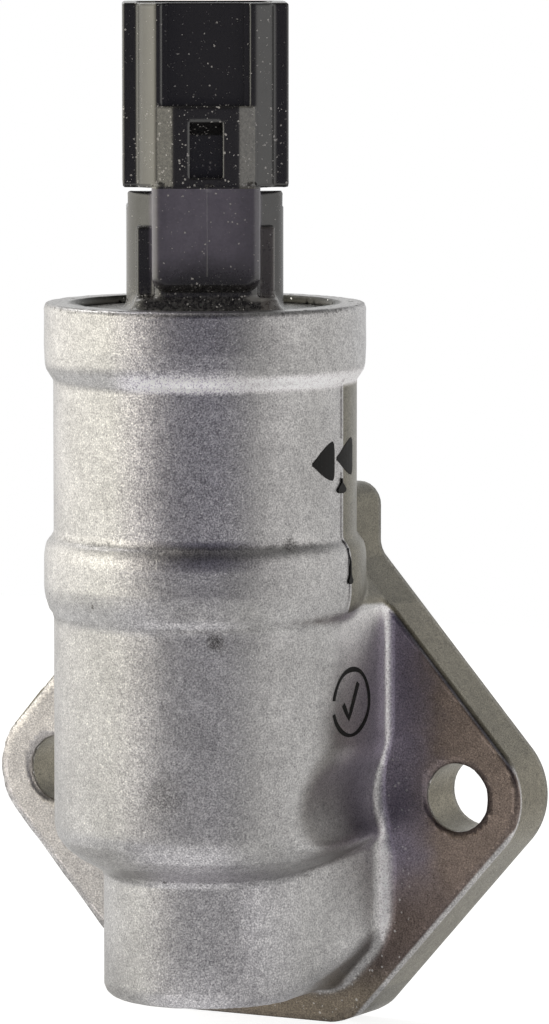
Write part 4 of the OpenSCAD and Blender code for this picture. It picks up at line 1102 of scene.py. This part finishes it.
# ---------------------------------------------------------------- springs and clip
# Bright drawn wire of the two coil springs, and blanked strip of the wave washer, the spring plate
# and the head's clip, with a touch of straw colour from tempering. Each coil spring stands on the
# body at one end and bears on the valve head with the other.

spring_steel = metal("spring_steel", grain, {"Size_mm": 0.10, "Coarse_Share": 0.2, "Seed": 15.0},
                     (0.42, 0.42, 0.43), (0.66, 0.66, 0.66), (0.56, 0.50, 0.40), 0.45, 0.30,
                     0.006, 16.0)
paint(spring_steel, "wave_washer", "spring_plate", "head_clip")

FLAT_TURNS = 0.75


def helix(radius, turns, low, high):
    """Points of a coil spring round the valve's axis, whose end turns lie flat, in metres."""
    turned = np.linspace(0.0, turns, int(turns * 40) + 1)
    rise = np.clip((turned - FLAT_TURNS) / (turns - 2 * FLAT_TURNS), 0.0, 1.0)
    return from_axis(np.stack([radius * np.cos(2 * np.pi * turned),
                               radius * np.sin(2 * np.pi * turned),
                               low + (high - low) * rise], 1)) * MM


for node, wire_r, turns, moving_end in (("return_spring", 0.4, 5, "low"),
                                        ("balance_spring", 0.25, 8, "high")):
    low_corner, high_corner = (np.array(corner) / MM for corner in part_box(node))
    low, high = low_corner[2], high_corner[2]
    coil = helix((high_corner[0] - low_corner[0]) / 2 - wire_r, turns, low + wire_r, high - wire_r)
    spring = made_by(bead, node + "_wire", paths([coil]), Bead_Radius=wire_r * MM, Round_Sides=12,
                     Material=spring_steel)
    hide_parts(node)
    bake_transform(spring)


# ---------------------------------------------------------------- spindle
# Ground stainless rod that joins the armature to the valve head and runs in the two bushes, with
# the fine rings of centreless grinding.

ground_steel = metal("ground_steel", lathe, {"Pitch_mm": 0.05, "Seed": 3.0}, (0.62, 0.62, 0.63),
                     (0.76, 0.76, 0.76), (0.68, 0.67, 0.65), 0.4, 0.20, 0.004, 17.0)
paint(ground_steel, "spindle")


# ---------------------------------------------------------------- valve head and seat ring
# Turned from brass bar: the head's disc with its hub, and the ring that is pressed into the
# housing's pocket under it. Plain turning rings, a little brown from the engine's air.

turned_brass = metal("turned_brass", lathe, {"Pitch_mm": 0.13, "Seed": 4.0}, (0.56, 0.43, 0.20),
                     (0.80, 0.66, 0.36), (0.48, 0.36, 0.19), 0.6, 0.28, 0.009, 18.0)
paint(turned_brass, "valve_head", "seat_ring")


# ---------------------------------------------------------------- bushes and guide tube
# Sintered bronze bushes that guide the spindle above and below, with open pores, and the thin
# bronze tube that keeps the armature off the winding.

bronze = metal("bush_bronze", grain, {"Size_mm": 0.14, "Coarse_Share": 0.3, "Seed": 19.0},
               (0.34, 0.22, 0.10), (0.66, 0.47, 0.24), (0.42, 0.30, 0.16), 0.5, 0.40, 0.012, 20.0)
paint(bronze, "upper_bush", "lower_bush", "guide_tube")


# ---------------------------------------------------------------- bobbin
# The spool of the coil, moulded from natural glass-filled nylon: ivory, with fine fibres in its
# skin and a slight sheen.

ivory, _ = worked("bobbin_moulding", grain, {"Size_mm": 0.25, "Coarse_Share": 0.5, "Seed": 21.0},
                  (0.60, 0.56, 0.44), (0.78, 0.75, 0.64), (0.48, 0.36), 0.008, 0.4)
paint(ivory, "bobbin")


# ---------------------------------------------------------------- coil winding
# Enamelled copper wire wound in flat layers on the bobbin. The outer layer's turns are modelled;
# the layers below are one solid ring.

WIRE_R = 0.17
spots = np.array([v.co for v in nodes["coil_winding"].data.vertices]) / MM
spots[:, 1] += AXIS_TO_FACE
reaches = np.hypot(spots[:, 0], spots[:, 1])
coil_r, core_in_r = float(reaches.max()), float(reaches.min())
coil_low, coil_high = float(spots[:, 2].min()), float(spots[:, 2].max())

wound, given = geometry_group("wound_wire", Coil_Radius="Float", Wire_Radius="Float", Turns="Int",
                              First_Turn="Vector", Pitch="Vector")
stack = wire(wound, "GeometryNodeMeshLine",
             {"Count": given.outputs["Turns"], "Start Location": given.outputs["First Turn"],
              "Offset": given.outputs["Pitch"]}, mode="OFFSET")
ring_path = wire(wound, "GeometryNodeCurvePrimitiveCircle",
                 {"Resolution": 72, "Radius": given.outputs["Coil Radius"]})
section = wire(wound, "GeometryNodeCurvePrimitiveCircle",
               {"Resolution": 8, "Radius": given.outputs["Wire Radius"]})
one_turn = wire(wound, "GeometryNodeCurveToMesh", {"Curve": ring_path.outputs[0],
                                                   "Profile Curve": section.outputs[0]})
turns = wire(wound, "GeometryNodeInstanceOnPoints", {"Points": stack.outputs[0],
                                                     "Instance": one_turn.outputs[0]})
joined = wire(wound, "GeometryNodeJoinGeometry", {0: turns.outputs[0]})
wound.links.new(given.outputs["Geometry"], joined.inputs[0])
hand_out(wound, joined.outputs[0], given.outputs["Material"])


def revolved(section, sides):
    """A mesh made by turning a closed section of (radius, height) points round the axis, in mm."""
    count = len(section)
    points = [(r * math.cos(2 * math.pi * k / sides),
               r * math.sin(2 * math.pi * k / sides) - AXIS_TO_FACE, z)
              for k in range(sides) for r, z in section]
    faces = [(k * count + i, (k + 1) % sides * count + i,
              (k + 1) % sides * count + (i + 1) % count, k * count + (i + 1) % count)
             for k in range(sides) for i in range(count)]
    mesh = bpy.data.meshes.new("revolved")
    mesh.from_pydata((np.array(points) * MM).tolist(), [], faces)
    return mesh


enamel, shader = worked("copper_wire", grain, {"Size_mm": 0.18, "Coarse_Share": 0.6, "Seed": 22.0},
                        (0.50, 0.19, 0.08), (0.72, 0.34, 0.16), (0.36, 0.26))
shader.inputs["Metallic"].default_value = 1.0
shader.inputs["Coat Weight"].default_value = 0.6
shader.inputs["Coat Roughness"].default_value = 0.15
core = revolved([(core_in_r, coil_low), (coil_r - WIRE_R, coil_low),
                 (coil_r - WIRE_R, coil_high), (core_in_r, coil_high)], 72)
turn_count = int((coil_high - coil_low) / (2 * WIRE_R))
pitch = (coil_high - coil_low - 2 * WIRE_R) / (turn_count - 1)
winding = made_by(wound, "wound_coil", core, Coil_Radius=(coil_r - WIRE_R) * MM,
                  Wire_Radius=WIRE_R * MM, Turns=turn_count, Pitch=(0.0, 0.0, pitch * MM),
                  First_Turn=(0.0, -AXIS_TO_FACE * MM, (coil_low + WIRE_R) * MM), Material=enamel)
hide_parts("coil_winding")
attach(winding, "valve_body")
